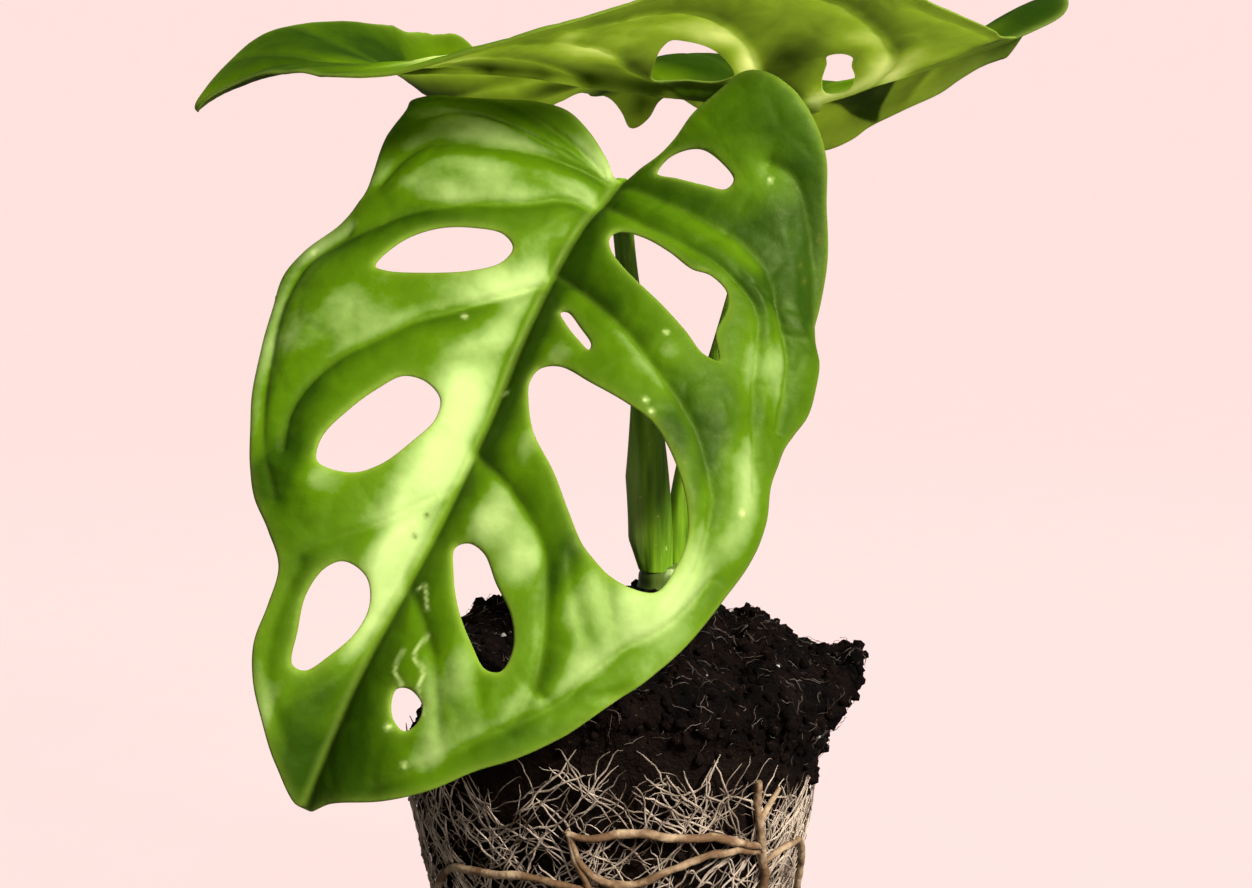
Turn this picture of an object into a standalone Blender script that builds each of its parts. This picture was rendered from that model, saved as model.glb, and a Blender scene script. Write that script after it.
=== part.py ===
"""A young monstera adansonii with its bare root ball, as lifted for repotting.

Sizes are in millimetres and become metres as each mesh is written. +Z is up, the front is
towards -Y, and the origin is the middle of the root ball's flat underside.
"""
import math

import bmesh
import bpy
import numpy as np
from mathutils import Vector, noise
from mathutils.geometry import delaunay_2d_cdt

MM = 0.001
GAP = 0.3                  # air between neighbouring pieces

# Root ball: height and radius down the side of the soil, from the underside to the rim
SOIL_PROFILE = [(0.0, 21.8), (1.0, 23.1), (3.0, 24.0), (12.0, 25.3), (22.5, 26.9), (36.0, 29.8),
                (46.0, 31.2), (52.0, 32.4), (56.0, 33.0), (58.5, 31.6)]
SOIL_SIDES = 60            # facets round the soil
SOIL_TOP_RINGS = 8
SOIL_HEIGHTS = [0.0, 1.0, 3.0, 9.0, 16.0, 23.0, 30.0, 36.0, 41.0, 45.0, 48.5, 52.0, 55.5, 58.5]
MOUND_STEEPNESS = 1.7
CROWN_HEIGHT = 66.0        # soil heaped round the stem
CRUMB_SIZE = 7.0           # width and height of the lumps in the torn soil
CRUMB_HEIGHT = 1.7
CLUMP_ANGLE = 20.0         # the torn lump that hangs out at the right and towards the back
CLUMP_SPREAD = 38.0
CLUMP_REACH = 7.0
CLUMP_HEIGHT = 54.5
CLUMP_DEPTH = 8.5
SHOULDER_ANGLE = 180.0     # the left side, where the soil has crumbled away
SHOULDER_SPREAD = 52.0
SHOULDER_FOOT = 42.0
SHOULDER_SLOPE = 0.55

# Stem
STEM_AT = (8.2, 9.0)
STEM_FOOT = 47.0
STEM_TOP = 68.6
STEM_ACROSS = (4.3, 3.7)   # half widths, side to side and front to back
STEM_SIDES = 20
STEM_SWELL = [(STEM_FOOT, 0.6), (55.0, 0.85), (62.0, 1.0), (66.0, 1.0), (STEM_TOP, 1.0)]

# Leaf stalks: points along the middle, each with its radius
FRONT_STALK = [((6.9, 8.0, 68.9), 2.5), ((6.9, 7.4, 75.5), 2.4), ((6.3, 6.7, 85.0), 2.3),
               ((5.0, 6.1, 96.0), 2.1), ((3.2, 5.6, 108.0), 1.75), ((2.1, 5.3, 117.0), 1.55),
               ((1.5, 5.1, 123.5), 1.6), ((1.3, 4.5, 126.8), 1.75), ((1.2, 3.9, 128.0), 1.3)]
BACK_STALK = [((10.3, 11.6, 68.9), 1.7), ((10.4, 11.3, 75.5), 1.85), ((11.6, 11.4, 84.0), 1.75),
              ((13.9, 12.0, 92.5), 1.65), ((17.9, 13.7, 106.0), 1.5), ((22.2, 16.1, 120.5), 1.4),
              ((27.0, 18.6, 133.5), 1.35), ((29.7, 20.0, 139.3), 1.5), ((30.9, 20.2, 141.2), 1.15)]
SHEATH_TOP = 96.0          # where the front stalk's wing fades out
SHEATH_FOOT = 68.0
SHEATH_WIDTH = 2.2
SHEATH_TURN = -15.0        # which side of the stalk it stands on, in degrees
STALK_SIDES = 14
STALK_STEP = 3.6

# Leaf blades
BLADE_THICKNESS = 0.7
RIB_DEPTH = 1.1            # how far the midrib stands out under the blade at its base
RIB_WIDTH = 1.2
RIB_RAIL = 1.8             # rows of points that carry the rib's slopes
RIB_STEP = 4.2
EDGE_STEP = 3.4            # spacing of points along the edges
HOLE_STEP = 2.7            # and round the holes
FIELD_STEP = 5.2           # and within the blade
FIELD_CLEAR = 2.6          # how far those keep off the midrib
EDGE_CLEAR = 1.5           # and off the edges
FRONT_LENGTH = 104.0       # stalk to tip, along the midrib
BACK_LENGTH = 99.0

# A blade lies along its midrib curve. Each half leaves the midrib at a fold angle and then
# arches over, by so many degrees for each millimetre. Both are given along the midrib.
FRONT_LEAF = dict(
    midrib=[(8.0, 6.5, 151.5), (0.9, 2.0, 129.2), (-4.6, -4.4, 122.0), (-11.2, -13.2, 109.2),
            (-17.4, -23.9, 93.8), (-24.0, -33.2, 79.6), (-32.1, -40.5, 64.4),
            (-38.9, -45.3, 48.1), (-43.5, -49.0, 36.0)],
    across=(0.89, -0.20, -0.41),
    left_fold=[(0, 25)], left_arch=[(0, 1.67)],
    right_fold=[(0, 30)], right_arch=[(0, 1.67)])
BACK_LEAF = dict(
    midrib=[(82.0, 25.5, 156.5), (31.7, 20.0, 143.2), (14.6, 19.0, 144.3), (0.0, 18.0, 145.6),
            (-18.0, 16.5, 147.5), (-33.5, 14.8, 147.4), (-50.0, 13.6, 147.2),
            (-59.5, 12.6, 144.3), (-64.3, 11.8, 141.6), (-68.0, 11.4, 138.0)],
    across=(0.0, -0.985, 0.17),
    left_fold=[(-50, 60), (-42, 56), (-36, 46), (-30, 37), (-22, 33), (-9, 30), (-4, 35), (2, 53),
               (8, 65), (20, 65), (25, 54), (31, 28), (36, 10), (43, -2), (48, -16), (58, -18),
               (66, 6), (78, 34), (97, 36)],
    left_arch=[(-50, 3), (-42, 2.7), (-36, 2.3), (-30, 1.9), (-9, 1.9), (-4, 2.3), (2, 3.2),
               (8, 3.75), (20, 3.75), (25, 3.1), (31, 1.7), (36, 0.6), (43, 0.2), (48, -1.5),
               (54, -2.6), (64, -2.2), (74, -0.5), (97, 0.2)],
    right_fold=[(-40, -6), (-28, -2), (-18, 6), (-8, 13), (10, 14), (20, 10), (30, 5), (40, -1),
                (50, -8), (60, -14), (70, -22), (97, -24)],
    right_arch=[(-40, 0.5), (-18, 0.4), (0, 0.2)])

# Edges of the blades laid flat: millimetres along the midrib from the stalk, then across it
FRONT_EDGE = [
    (-0.4, 0), (-2.4, -3), (-5.3, -6.8), (-7.4, -10.8), (-7.5, -15.5), (-6.4, -21.5), (-5.2, -28),
    (-4.3, -34), (-1.5, -37.3), (4, -37.2), (10, -35.6), (15.5, -33.2), (20, -32.3),
    (24, -33.8), (28, -38.2), (31.5, -40), (37, -38.8), (44.5, -36.9), (53, -34), (60, -30.5),
    (66.5, -27), (71, -23.8), (74.5, -19.4), (78, -15.7), (82.5, -14.5), (87, -13.9), (91, -12),
    (95, -9), (99.5, -5.2), (103.6, 0), (101.5, 4), (98.5, 11), (95, 16.2), (91, 20.2),
    (87, 24.8), (82, 28.6), (75.5, 32.1), (70, 35.6), (64.5, 38.8), (58, 41.3), (51.5, 43.2),
    (45, 43.7), (40.5, 42.6), (36, 42.8), (30, 44), (24.5, 45), (19, 44.3), (13, 42.8), (6, 40),
    (0.5, 36.2), (-4.5, 32.4), (-10.5, 29.9), (-15, 26.6), (-18.4, 22.5), (-19.9, 18),
    (-19.2, 14.8), (-15.5, 11.8), (-11.5, 8.9), (-7.4, 7.2), (-4.6, 5.4), (-2.6, 3.2)]
FRONT_HOLES = [
    [(30, -23.6), (25.5, -21.8), (22, -18), (19.8, -13), (18.9, -9), (20.2, -6.8), (23, -7.3),
     (26.5, -11), (29, -16), (30.4, -21.5)],
    [(62, -18.5), (58.5, -19.4), (53, -17.6), (48.5, -15.3), (45.4, -13), (45, -10),
     (46.5, -7.2), (49.7, -6.6), (54, -8), (59, -10.3), (61.8, -13), (62.6, -16.5)],
    [(87.5, -8.2), (87.6, -6.4), (84.8, -4.4), (80.8, -2.7), (77, -2.8), (74, -5), (73.6, -8.6),
     (75.6, -10.3), (79.5, -10.7), (83.8, -9.4)],
    [(-1.8, 6.2), (-4.1, 7), (-6, 9.5), (-6.6, 12), (-5.5, 15.2), (-3.6, 17.8), (-2.2, 17.2),
     (-1.8, 14), (-1.7, 9.5)],
    [(12.6, 5.9), (11, 6.8), (10.7, 10.5), (11.8, 15.2), (13.3, 19.4), (12.6, 22), (13.8, 25),
     (17, 26.3), (22.5, 26.4), (26.5, 28.2), (26.8, 26), (24.3, 22.3), (21.6, 17.8), (18, 11.2),
     (15, 7.3)],
    [(27, 4.2), (26.8, 5.2), (29.2, 8.2), (31.9, 10.8), (32.9, 10.8), (31.6, 8.9), (29, 5.9)],
    [(39.3, 3.9), (37.2, 4.6), (36.5, 7.5), (38.2, 12.8), (39.7, 18.4), (41, 22.4), (44.5, 27),
     (48.7, 30.7), (53, 32.8), (57.5, 32.8), (61, 31.7), (62.2, 28.5), (61.9, 24.8),
     (60, 20.3), (56.5, 16.6), (52, 12.6), (47, 7.6), (42.5, 5)],
    [(65.6, 4.1), (64.6, 5.6), (65.3, 8.6), (68.2, 12), (71, 15.8), (74.4, 18), (77.6, 18),
     (78.2, 16.2), (76, 12.8), (72.5, 8.8), (69, 6)],
    [(87.2, 6.8), (85.3, 6.5), (84.6, 8.2), (85.8, 10.7), (88.2, 11.1), (89.6, 10), (88.8, 8)]]
BACK_EDGE = [
    (0.5, 0), (-4, 0.5), (-11, 0.5), (-20, 0.6), (-28, 1.2), (-32, 3.2), (-32.6, 6), (-30.4, 9),
    (-27, 15), (-24.3, 20), (-18, 26.6), (-12.2, 31), (-5.5, 36.6), (3, 39.8), (13, 40.8),
    (25, 39.5),
    (36, 36.5), (47, 32.1), (56, 26.9), (65, 20.6), (74, 14.2), (82, 9.2), (90, 4.4), (99, 0),
    (96, -3.6), (91, -11.4), (86, -16.9), (81, -19.1), (76, -22.1), (71, -25.2), (66, -27),
    (61, -31.5), (56, -34), (51, -34.4), (46, -34.7), (42, -34.2), (39.4, -30.2), (39.6, -27.5),
    (43.2, -20), (44, -13), (41.2, -9.6), (37.4, -9.6),
    (35.2, -14), (33.9, -19.2), (30.7, -25.1), (28.2, -30.5), (26.5, -34.1), (25.4, -34.2),
    (23.5, -32.4), (22.3, -29.4), (20.9, -28.3), (19, -28.7), (15.8, -30.6), (11.8, -31.9),
    (4.3, -32.9), (-3, -32.8), (-8, -34.7), (-13, -34.4), (-16.3, -33), (-23.2, -32.7),
    (-30.5, -34), (-34.4, -33.5), (-38.4, -33.5), (-42.3, -34), (-43.5, -34), (-47.5, -27),
    (-48.8, -18), (-47.6, -9), (-44.4, -3.8), (-38, -1.8), (-29, -1), (-20, -0.6), (-11, -0.5),
    (-4, -0.5)]
BACK_HOLES = [
    [(26, 4.2), (26.1, 9), (25.6, 14), (24.4, 16.7), (22, 16.1), (19.9, 15.1), (17.7, 13.3),
     (15.3, 10.1), (13.4, 5.6), (15.5, 3.4), (20, 3.2), (24.6, 3.4)],
    [(-1, 9.7), (-0.7, 12), (-2.7, 12.5), (-4.9, 11), (-5.3, 8), (-6.2, 4.6), (-5.4, 2.3),
     (-1.8, 2.1), (-0.9, 5)],
    [(10, -11), (5, -11.2), (1, -14), (0, -19.5), (2, -25), (7, -24.5), (11, -17)]]

# Fine roots: a slanting net round the side of the soil
NET_COLUMNS = 38
NET_ROWS = 9
NET_FOOT = 2.6
NET_STRAND = 0.95
NET_LIFT = GAP + NET_STRAND * 0.62
NET_TOP = [(-180, 42.0), (-133, 45.5), (-117, 47.3), (-101, 49.0), (-80, 48.8), (-68, 47.8),
           (-50, 45.6), (-34, 42.0), (-18, 37.0), (20, 35.0), (60, 38.0), (100, 44.0),
           (140, 46.5), (180, 42.0)]

# Thick roots: angle round the ball and height of points along each, over the net
ROOT_SIDES = 6
ROOT_STEP = 4.5
ROOT_LIFT = 2 * GAP + NET_STRAND * 1.25 + 1.0
THICK_ROOTS = [
    (1.15, [(-51, 46.5), (-50, 42), (-48.6, 37.3), (-46, 33), (-43, 27.5), (-45, 20), (-52, 12)]),
    (0.85, [(-42, 44.5), (-45.5, 41.5), (-49.5, 38.5)]),
    (1.05, [(-48, 35), (-55, 36.2), (-62, 37.8), (-75, 38.8), (-87, 39.9), (-95, 39),
            (-100.6, 39.6)]),
    (0.95, [(-48, 34), (-56, 35.2), (-65.5, 35.2), (-76, 33.7), (-85, 32.2), (-93, 32.9),
            (-98, 35.6), (-99.8, 39.2)]),
    (0.9, [(-100.5, 40), (-98.5, 35), (-96, 31.5), (-100, 25), (-112, 20), (-124, 18)]),
    (0.95, [(-46, 32), (-36.5, 33.2), (-25, 31.8), (-18, 26.5), (-12, 20.5), (0, 17.5), (14, 20.5),
            (26, 26)]),
    (1.0, [(-86, 32.1), (-94, 31.2), (-103, 31.6), (-112, 32.3), (-126, 31.6), (-139, 30.6),
           (-150, 26), (-162, 20.5), (-178, 18), (-196, 20), (-206, 24)]),
    (0.9, [(-125, 18), (-140, 13.5), (-158, 11.5), (-176, 13), (-192, 17), (-204, 23.5),
           (-214, 30)]),
    (0.9, [(-204, 23.5), (-222, 26), (-242, 23), (-262, 24), (-282, 26), (-300, 24),
           (-318, 24.5), (-334, 26)]),
    (0.85, [(-52, 12), (-66, 9), (-84, 10), (-100, 14), (-112, 19.8)])]


def lerp_table(table, at):
    """Value of a short table of (place, value) pairs, at one place or many."""
    places, values = zip(*table)
    return np.interp(at, places, values)


def spline(points, step, closed=False):
    """Centripetal Catmull-Rom curve through the points, sampled about `step` apart."""
    pts = np.array(points, float)
    if closed:
        pts = np.vstack([pts[-1], pts, pts[0], pts[1]])
    else:
        pts = np.vstack([2 * pts[0] - pts[1], pts, 2 * pts[-1] - pts[-2]])
    out = []
    for i in range(1, len(pts) - 2):
        p0, p1, p2, p3 = pts[i - 1:i + 3]
        k0 = 0.0
        k1 = k0 + np.linalg.norm(p1 - p0) ** 0.5
        k2 = k1 + np.linalg.norm(p2 - p1) ** 0.5
        k3 = k2 + np.linalg.norm(p3 - p2) ** 0.5
        samples = max(1, round(np.linalg.norm(p2 - p1) / step))
        for t in np.linspace(k1, k2, samples, endpoint=False):
            a1 = ((k1 - t) * p0 + (t - k0) * p1) / (k1 - k0)
            a2 = ((k2 - t) * p1 + (t - k1) * p2) / (k2 - k1)
            a3 = ((k3 - t) * p2 + (t - k2) * p3) / (k3 - k2)
            b1 = ((k2 - t) * a1 + (t - k0) * a2) / (k2 - k0)
            b2 = ((k3 - t) * a2 + (t - k1) * a3) / (k3 - k1)
            out.append(((k2 - t) * b1 + (t - k1) * b2) / (k2 - k1))
    if not closed:
        out.append(pts[-2])
    return np.array(out)


def unit(vectors):
    """The same vectors at length one."""
    return vectors / np.linalg.norm(vectors, axis=-1, keepdims=True)


def clear_scene():
    for obj in list(bpy.data.objects):
        bpy.data.objects.remove(obj, do_unlink=True)


def material(name, colour, roughness):
    """A plain plant or soil material; colour is linear red, green and blue."""
    mat = bpy.data.materials.new(name)
    mat.use_nodes = True
    shader = mat.node_tree.nodes["Principled BSDF"]
    shader.inputs["Base Color"].default_value = (*colour, 1.0)
    shader.inputs["Roughness"].default_value = roughness
    shader.inputs["Metallic"].default_value = 0.0
    return mat


def make_object(name, points, faces, mat, smooth=True):
    """One closed body from points in millimetres, with its faces turned outwards."""
    mesh = bpy.data.meshes.new(name)
    mesh.from_pydata([tuple(p) for p in np.array(points) * MM], [], faces)
    bm = bmesh.new()
    bm.from_mesh(mesh)
    bmesh.ops.recalc_face_normals(bm, faces=bm.faces)
    bm.to_mesh(mesh)
    bm.free()
    if smooth:
        mesh.shade_smooth()
    mesh.materials.append(mat)
    obj = bpy.data.objects.new(name, mesh)
    bpy.context.scene.collection.objects.link(obj)
    return obj


def tube(centres, rings, sides):
    """Points and faces of a capped tube, from the middle and the outline of each ring."""
    points = [p for ring in rings for p in ring]
    faces = []
    for k in range(len(rings) - 1):
        for i in range(sides):
            j = (i + 1) % sides
            faces.append((k * sides + i, k * sides + j, (k + 1) * sides + j, (k + 1) * sides + i))
    for k, ends in ((0, -1), (len(rings) - 1, 1)):
        points.append(centres[k])
        tip = len(points) - 1
        for i in range(sides):
            j = (i + 1) % sides
            a, b = (i, j) if ends > 0 else (j, i)
            faces.append((k * sides + a, k * sides + b, tip))
    return points, faces


def path_rings(path, radii, sides, swell=None):
    """Rings square to a path. `swell` may widen a ring by direction."""
    tangents = unit(np.gradient(path, axis=0))
    side = unit(np.cross(tangents, (0.0, 1.0, 0.0)))
    depth = np.cross(side, tangents)
    rings = []
    for k, centre in enumerate(path):
        ring = []
        for i in range(sides):
            turn = 2 * math.pi * i / sides
            reach = radii[k] + (swell(turn, centre[2]) if swell else 0.0)
            ring.append(centre + reach * (math.cos(turn) * side[k] + math.sin(turn) * depth[k]))
        rings.append(ring)
    return rings


class LeafShape:
    """The curved sheet that a blade lies in."""

    def __init__(self, midrib, across, left_fold, left_arch, right_fold, right_arch):
        self.curve = spline(midrib, 0.4)
        steps = np.linalg.norm(np.diff(self.curve, axis=0), axis=1)
        along = np.concatenate([[0.0], np.cumsum(steps)])
        stalk = np.argmin(np.linalg.norm(self.curve - np.array(midrib[1]), axis=1))
        self.along = along - along[stalk]
        self.across = np.array(across)
        self.left = (left_fold, left_arch)
        self.right = (right_fold, right_arch)

    def middle(self, u):
        """Points on the midrib, u millimetres from the stalk."""
        return np.stack([np.interp(u, self.along, self.curve[:, k]) for k in range(3)], -1)

    def point(self, u, v):
        """Points u along the midrib and v across, measured on the blade."""
        ahead = unit(self.middle(u + 1.5) - self.middle(u - 1.5))
        side = unit(self.across - (ahead @ self.across)[..., None] * ahead)
        up = np.cross(ahead, side)
        left, right = self.left, self.right
        fold = np.where(v < 0, lerp_table(left[0], u), lerp_table(right[0], u))
        arch = np.where(v < 0, lerp_table(left[1], u), lerp_table(right[1], u))
        fold = np.radians(fold)
        bend = np.radians(np.where(np.abs(arch) < 0.01, 0.01, arch))
        s = np.abs(v)
        out = (np.sin(fold) - np.sin(fold - bend * s)) / bend
        rise = (np.cos(fold - bend * s) - np.cos(fold)) / bend
        return self.middle(u) + (np.sign(v) * out)[..., None] * side + rise[..., None] * up

    def normal(self, u, v):
        """Direction out of the blade's upper face."""
        step = 0.6
        along = self.point(u + step, v) - self.point(u - step, v)
        across = self.point(u, v + step) - self.point(u, v - step)
        return unit(np.cross(along, across))


def inside(loop, points):
    """Which flat points lie inside a closed loop."""
    x, y = points[:, 0], points[:, 1]
    result = np.zeros(len(points), bool)
    for (x0, y0), (x1, y1) in zip(loop, np.roll(loop, -1, axis=0)):
        crosses = (y0 > y) != (y1 > y)
        if crosses.any():
            result ^= crosses & (x < (x1 - x0) * (y - y0) / ((y1 - y0) or 1e-9) + x0)
    return result


def clear_of(loops, points, distance):
    """Which flat points are further than `distance` from every loop's points."""
    dense = np.vstack([spline(loop, 0.8, closed=True) for loop in loops])
    gaps = np.linalg.norm(points[:, None] - dense[None], axis=2).min(axis=1)
    return gaps > distance


def blade_pattern(edge, holes):
    """Flat points and triangles that fill a blade's outline around its holes."""
    loops = [spline(edge, EDGE_STEP, closed=True)]
    loops += [spline(hole, HOLE_STEP, closed=True) for hole in holes]
    low, high = loops[0].min(axis=0), loops[0].max(axis=0)
    field = []
    row_gap = FIELD_STEP * math.sqrt(0.75)
    for row in range(int((high[1] - low[1]) / row_gap) + 1):
        v = low[1] + row * row_gap
        shift = FIELD_STEP / 2 * (row % 2)
        field += [(u + shift, v) for u in np.arange(low[0], high[0], FIELD_STEP)]
    field = np.array(field)
    field = field[np.abs(field[:, 1]) > FIELD_CLEAR]
    rib = np.arange(3.0, high[0] - 3.0, RIB_STEP)
    rails = [np.stack([rib, np.full_like(rib, v)], 1) for v in (0.0, -RIB_RAIL, RIB_RAIL)]
    field = np.vstack([field] + rails)
    field = field[inside(loops[0], field)]
    for hole in loops[1:]:
        field = field[~inside(hole, field)]
    field = field[clear_of([edge] + holes, field, EDGE_CLEAR)]
    points = [Vector(p) for loop in loops for p in loop]
    borders = []
    start = 0
    for loop in loops:
        borders += [(start + i, start + (i + 1) % len(loop)) for i in range(len(loop))]
        start += len(loop)
    points += [Vector(p) for p in field]
    flat, _, triangles, *_ = delaunay_2d_cdt(points, borders, [], 0, 1e-5)
    flat = np.array([tuple(p) for p in flat])
    centres = np.array([flat[list(t)].mean(axis=0) for t in triangles])
    keep = inside(loops[0], centres)
    for hole in loops[1:]:
        keep &= ~inside(hole, centres)
    return flat, [tuple(t) for t, good in zip(triangles, keep) if good]


def make_blade(name, shape, edge, holes, length, mat):
    """A blade of even thickness with its midrib standing out underneath."""
    flat, triangles = blade_pattern(edge, holes)
    used = sorted({i for t in triangles for i in t})
    renumber = {old: new for new, old in enumerate(used)}
    flat = flat[used]
    triangles = [tuple(renumber[i] for i in t) for t in triangles]
    u, v = flat[:, 0], flat[:, 1]
    sheet, normal = shape.point(u, v), shape.normal(u, v)
    taper = np.clip(1.0 - u / length, 0.15, 1.0) * (u > -1.0)
    rib = RIB_DEPTH * taper * np.exp(-(v / RIB_WIDTH) ** 2)
    top = sheet + normal * (BLADE_THICKNESS / 2)
    under = sheet - normal * (BLADE_THICKNESS / 2 + rib)[:, None]
    count = len(flat)
    faces = list(triangles)
    faces += [tuple(count + i for i in reversed(t)) for t in triangles]
    sides = {}
    for t in triangles:
        for a, b in zip(t, t[1:] + t[:1]):
            sides[(a, b)] = True
    for a, b in sides:
        if (b, a) not in sides:
            faces.append((b, a, count + a))
            faces.append((b, count + a, count + b))
    return make_object(name, np.vstack([top, under]), faces, mat)


def wrap(angle):
    """The angle as -180 to 180 degrees."""
    return (angle + 180.0) % 360.0 - 180.0


def clump(angle, z):
    """How far the torn lump pushes the soil out, by angle and height."""
    off = wrap(angle - CLUMP_ANGLE) / CLUMP_SPREAD
    up = (z - CLUMP_HEIGHT) / CLUMP_DEPTH
    return CLUMP_REACH * math.exp(-off ** 2 - up ** 2)


def shoulder(angle, z):
    """How far the crumbled left side is drawn in, by angle and height."""
    off = wrap(angle - SHOULDER_ANGLE)
    fall = max(0.0, z - SHOULDER_FOOT) * SHOULDER_SLOPE
    return fall * math.exp(-(off / SHOULDER_SPREAD) ** 2)


def crumb(x, y, z):
    """Unevenness of hand-torn soil at a place, the same on each run."""
    place = Vector((x, y, z)) / CRUMB_SIZE
    return CRUMB_HEIGHT * (noise.noise(place) + 0.5 * noise.noise(place * 2.3))


def soil_point(angle, z):
    """A point on the soil's side. Under the net it is smooth, above the net it is torn."""
    turn = math.radians(angle)
    radius = float(lerp_table(SOIL_PROFILE, z))
    torn = min(1.0, max(0.0, (z - float(lerp_table(NET_TOP, wrap(angle))) - 1.0) / 5.0))
    if torn > 0.0:
        rough = crumb(radius * math.cos(turn), radius * math.sin(turn), z)
        radius += torn * (clump(angle, z) - shoulder(angle, z) + rough)
    return np.array((radius * math.cos(turn), radius * math.sin(turn), z))


def make_soil(mat):
    """The plug of soil: flat below, tapered side, torn rim, mound and the stem's hole."""
    angles = [360.0 * i / SOIL_SIDES for i in range(SOIL_SIDES)]
    rings = [[soil_point(a, z) for a in angles] for z in SOIL_HEIGHTS]
    rim = np.array(rings[-1])
    turns = np.radians(angles)
    hole = np.stack([STEM_AT[0] + (STEM_ACROSS[0] + GAP) * np.cos(turns),
                     STEM_AT[1] + (STEM_ACROSS[1] + GAP) * np.sin(turns),
                     np.full(SOIL_SIDES, CROWN_HEIGHT)], 1)
    for k in range(1, SOIL_TOP_RINGS + 1):
        inward = k / SOIL_TOP_RINGS
        ring = rim * (1 - inward) + hole * inward
        ring[:, 2] = rim[:, 2] + (CROWN_HEIGHT - rim[:, 2]) * inward ** MOUND_STEEPNESS
        if k < SOIL_TOP_RINGS:
            ring[:, 2] += [crumb(*p) * math.sin(math.pi * inward) ** 0.5 for p in ring]
        rings.append(list(ring))
    floor = hole.copy()
    floor[:, 2] = STEM_FOOT - GAP
    rings.append(list(floor))
    middles = [(0.0, 0.0, 0.0)] * (len(rings) - 1) + [(*STEM_AT, STEM_FOOT - GAP)]
    points, faces = tube(middles, rings, SOIL_SIDES)
    return make_object("soil", points, faces, mat)


def on_ball(angle, z, lift):
    """A point on the smooth side of the root ball, lifted off it."""
    a = math.radians(angle)
    r = float(lerp_table(SOIL_PROFILE, z)) + lift
    return np.array((r * math.cos(a), r * math.sin(a), z))


def make_root_net(mat):
    """Fine roots as one slanting net, with its strands wandering by a formula."""
    bm = bmesh.new()
    rows = []
    for row in range(NET_ROWS + 1):
        line = []
        for col in range(NET_COLUMNS):
            angle = 360.0 * (col + 0.5 * (row % 2)) / NET_COLUMNS
            angle += 2.6 * math.sin(2.3 * col + 1.7 * row) + 1.4 * math.sin(5.1 * col - 2.9 * row)
            top = float(lerp_table(NET_TOP, wrap(angle)))
            z = NET_FOOT + (top - NET_FOOT) * row / NET_ROWS
            if row > 0:
                z += 1.1 * math.sin(3.7 * col + 4.3 * row)
            line.append(bm.verts.new(on_ball(angle, z, NET_LIFT) * MM))
        rows.append(line)
    for row in range(1, NET_ROWS):
        for col in range(NET_COLUMNS):
            lower, upper = rows[row - 1], rows[row + 1]
            near = rows[row][col]
            far = rows[row][(col + 1) % NET_COLUMNS]
            between = (col + 1) % NET_COLUMNS if row % 2 else col
            bm.faces.new((lower[between], far, upper[between], near))
    bmesh.ops.recalc_face_normals(bm, faces=bm.faces)
    bmesh.ops.wireframe(bm, faces=bm.faces, thickness=NET_STRAND * MM, offset=0.0,
                        use_replace=True, use_boundary=True, use_even_offset=False)
    mesh = bpy.data.meshes.new("root_net")
    bm.to_mesh(mesh)
    bm.free()
    mesh.shade_smooth()
    mesh.materials.append(mat)
    obj = bpy.data.objects.new("root_net", mesh)
    bpy.context.scene.collection.objects.link(obj)
    return obj


def make_thick_roots(mat):
    """The thick tan roots that run over the net, joined where they branch."""
    pieces = []
    for number, (radius, route) in enumerate(THICK_ROOTS):
        path = np.array([on_ball(a, z, ROOT_LIFT) for a, z in spline(route, ROOT_STEP)])
        taper = np.sin(np.linspace(0.35, math.pi - 0.35, len(path))) ** 0.25
        outward = unit(path * (1.0, 1.0, 0.0))
        tangents = unit(np.gradient(path, axis=0))
        side = unit(np.cross(tangents, outward))
        rings = []
        for k, centre in enumerate(path):
            turns = [2 * math.pi * i / ROOT_SIDES for i in range(ROOT_SIDES)]
            reach = radius * taper[k]
            rings.append([centre + reach * (math.cos(t) * side[k] + math.sin(t) * outward[k])
                          for t in turns])
        points, faces = tube(path, rings, ROOT_SIDES)
        pieces.append(make_object(f"root_{number}", points, faces, mat))
    return union("thick_roots", pieces)


def union(name, pieces):
    """Join overlapping pieces into one body and remove the pieces."""
    group = bpy.data.collections.new(name)
    bpy.context.scene.collection.children.link(group)
    base, others = pieces[0], pieces[1:]
    for obj in others:
        bpy.context.scene.collection.objects.unlink(obj)
        group.objects.link(obj)
    join = base.modifiers.new("join", "BOOLEAN")
    join.operation = "UNION"
    join.solver = "EXACT"
    join.operand_type = "COLLECTION"
    join.collection = group
    evaluated = base.evaluated_get(bpy.context.evaluated_depsgraph_get())
    mesh = bpy.data.meshes.new_from_object(evaluated)
    base.modifiers.clear()
    base.data = mesh
    base.name = name
    mesh.name = name
    for obj in others:
        bpy.data.objects.remove(obj, do_unlink=True)
    bpy.data.collections.remove(group)
    return base


def make_stem(mat):
    """The short stem, from its foot in the soil to where the stalks start."""
    turns = np.linspace(0, 2 * math.pi, STEM_SIDES, endpoint=False)
    rings = []
    for z, w in STEM_SWELL:
        rings.append([np.array((STEM_AT[0] + w * STEM_ACROSS[0] * math.cos(t),
                                STEM_AT[1] + w * STEM_ACROSS[1] * math.sin(t), z))
                      for t in turns])
    points, faces = tube([(*STEM_AT, z) for z, _ in STEM_SWELL], rings, STEM_SIDES)
    return make_object("stem", points, faces, mat)


def sheath_swell(turn, z):
    """The thin wing down the lower part of the front stalk, on its right side."""
    fade = min(1.0, max(0.0, (SHEATH_TOP - z) / 12.0))
    fade *= min(1.0, max(0.0, (z - SHEATH_FOOT) / 5.0))
    off = wrap(math.degrees(turn) - SHEATH_TURN)
    return SHEATH_WIDTH * fade * math.exp(-(off / 24.0) ** 2)


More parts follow.
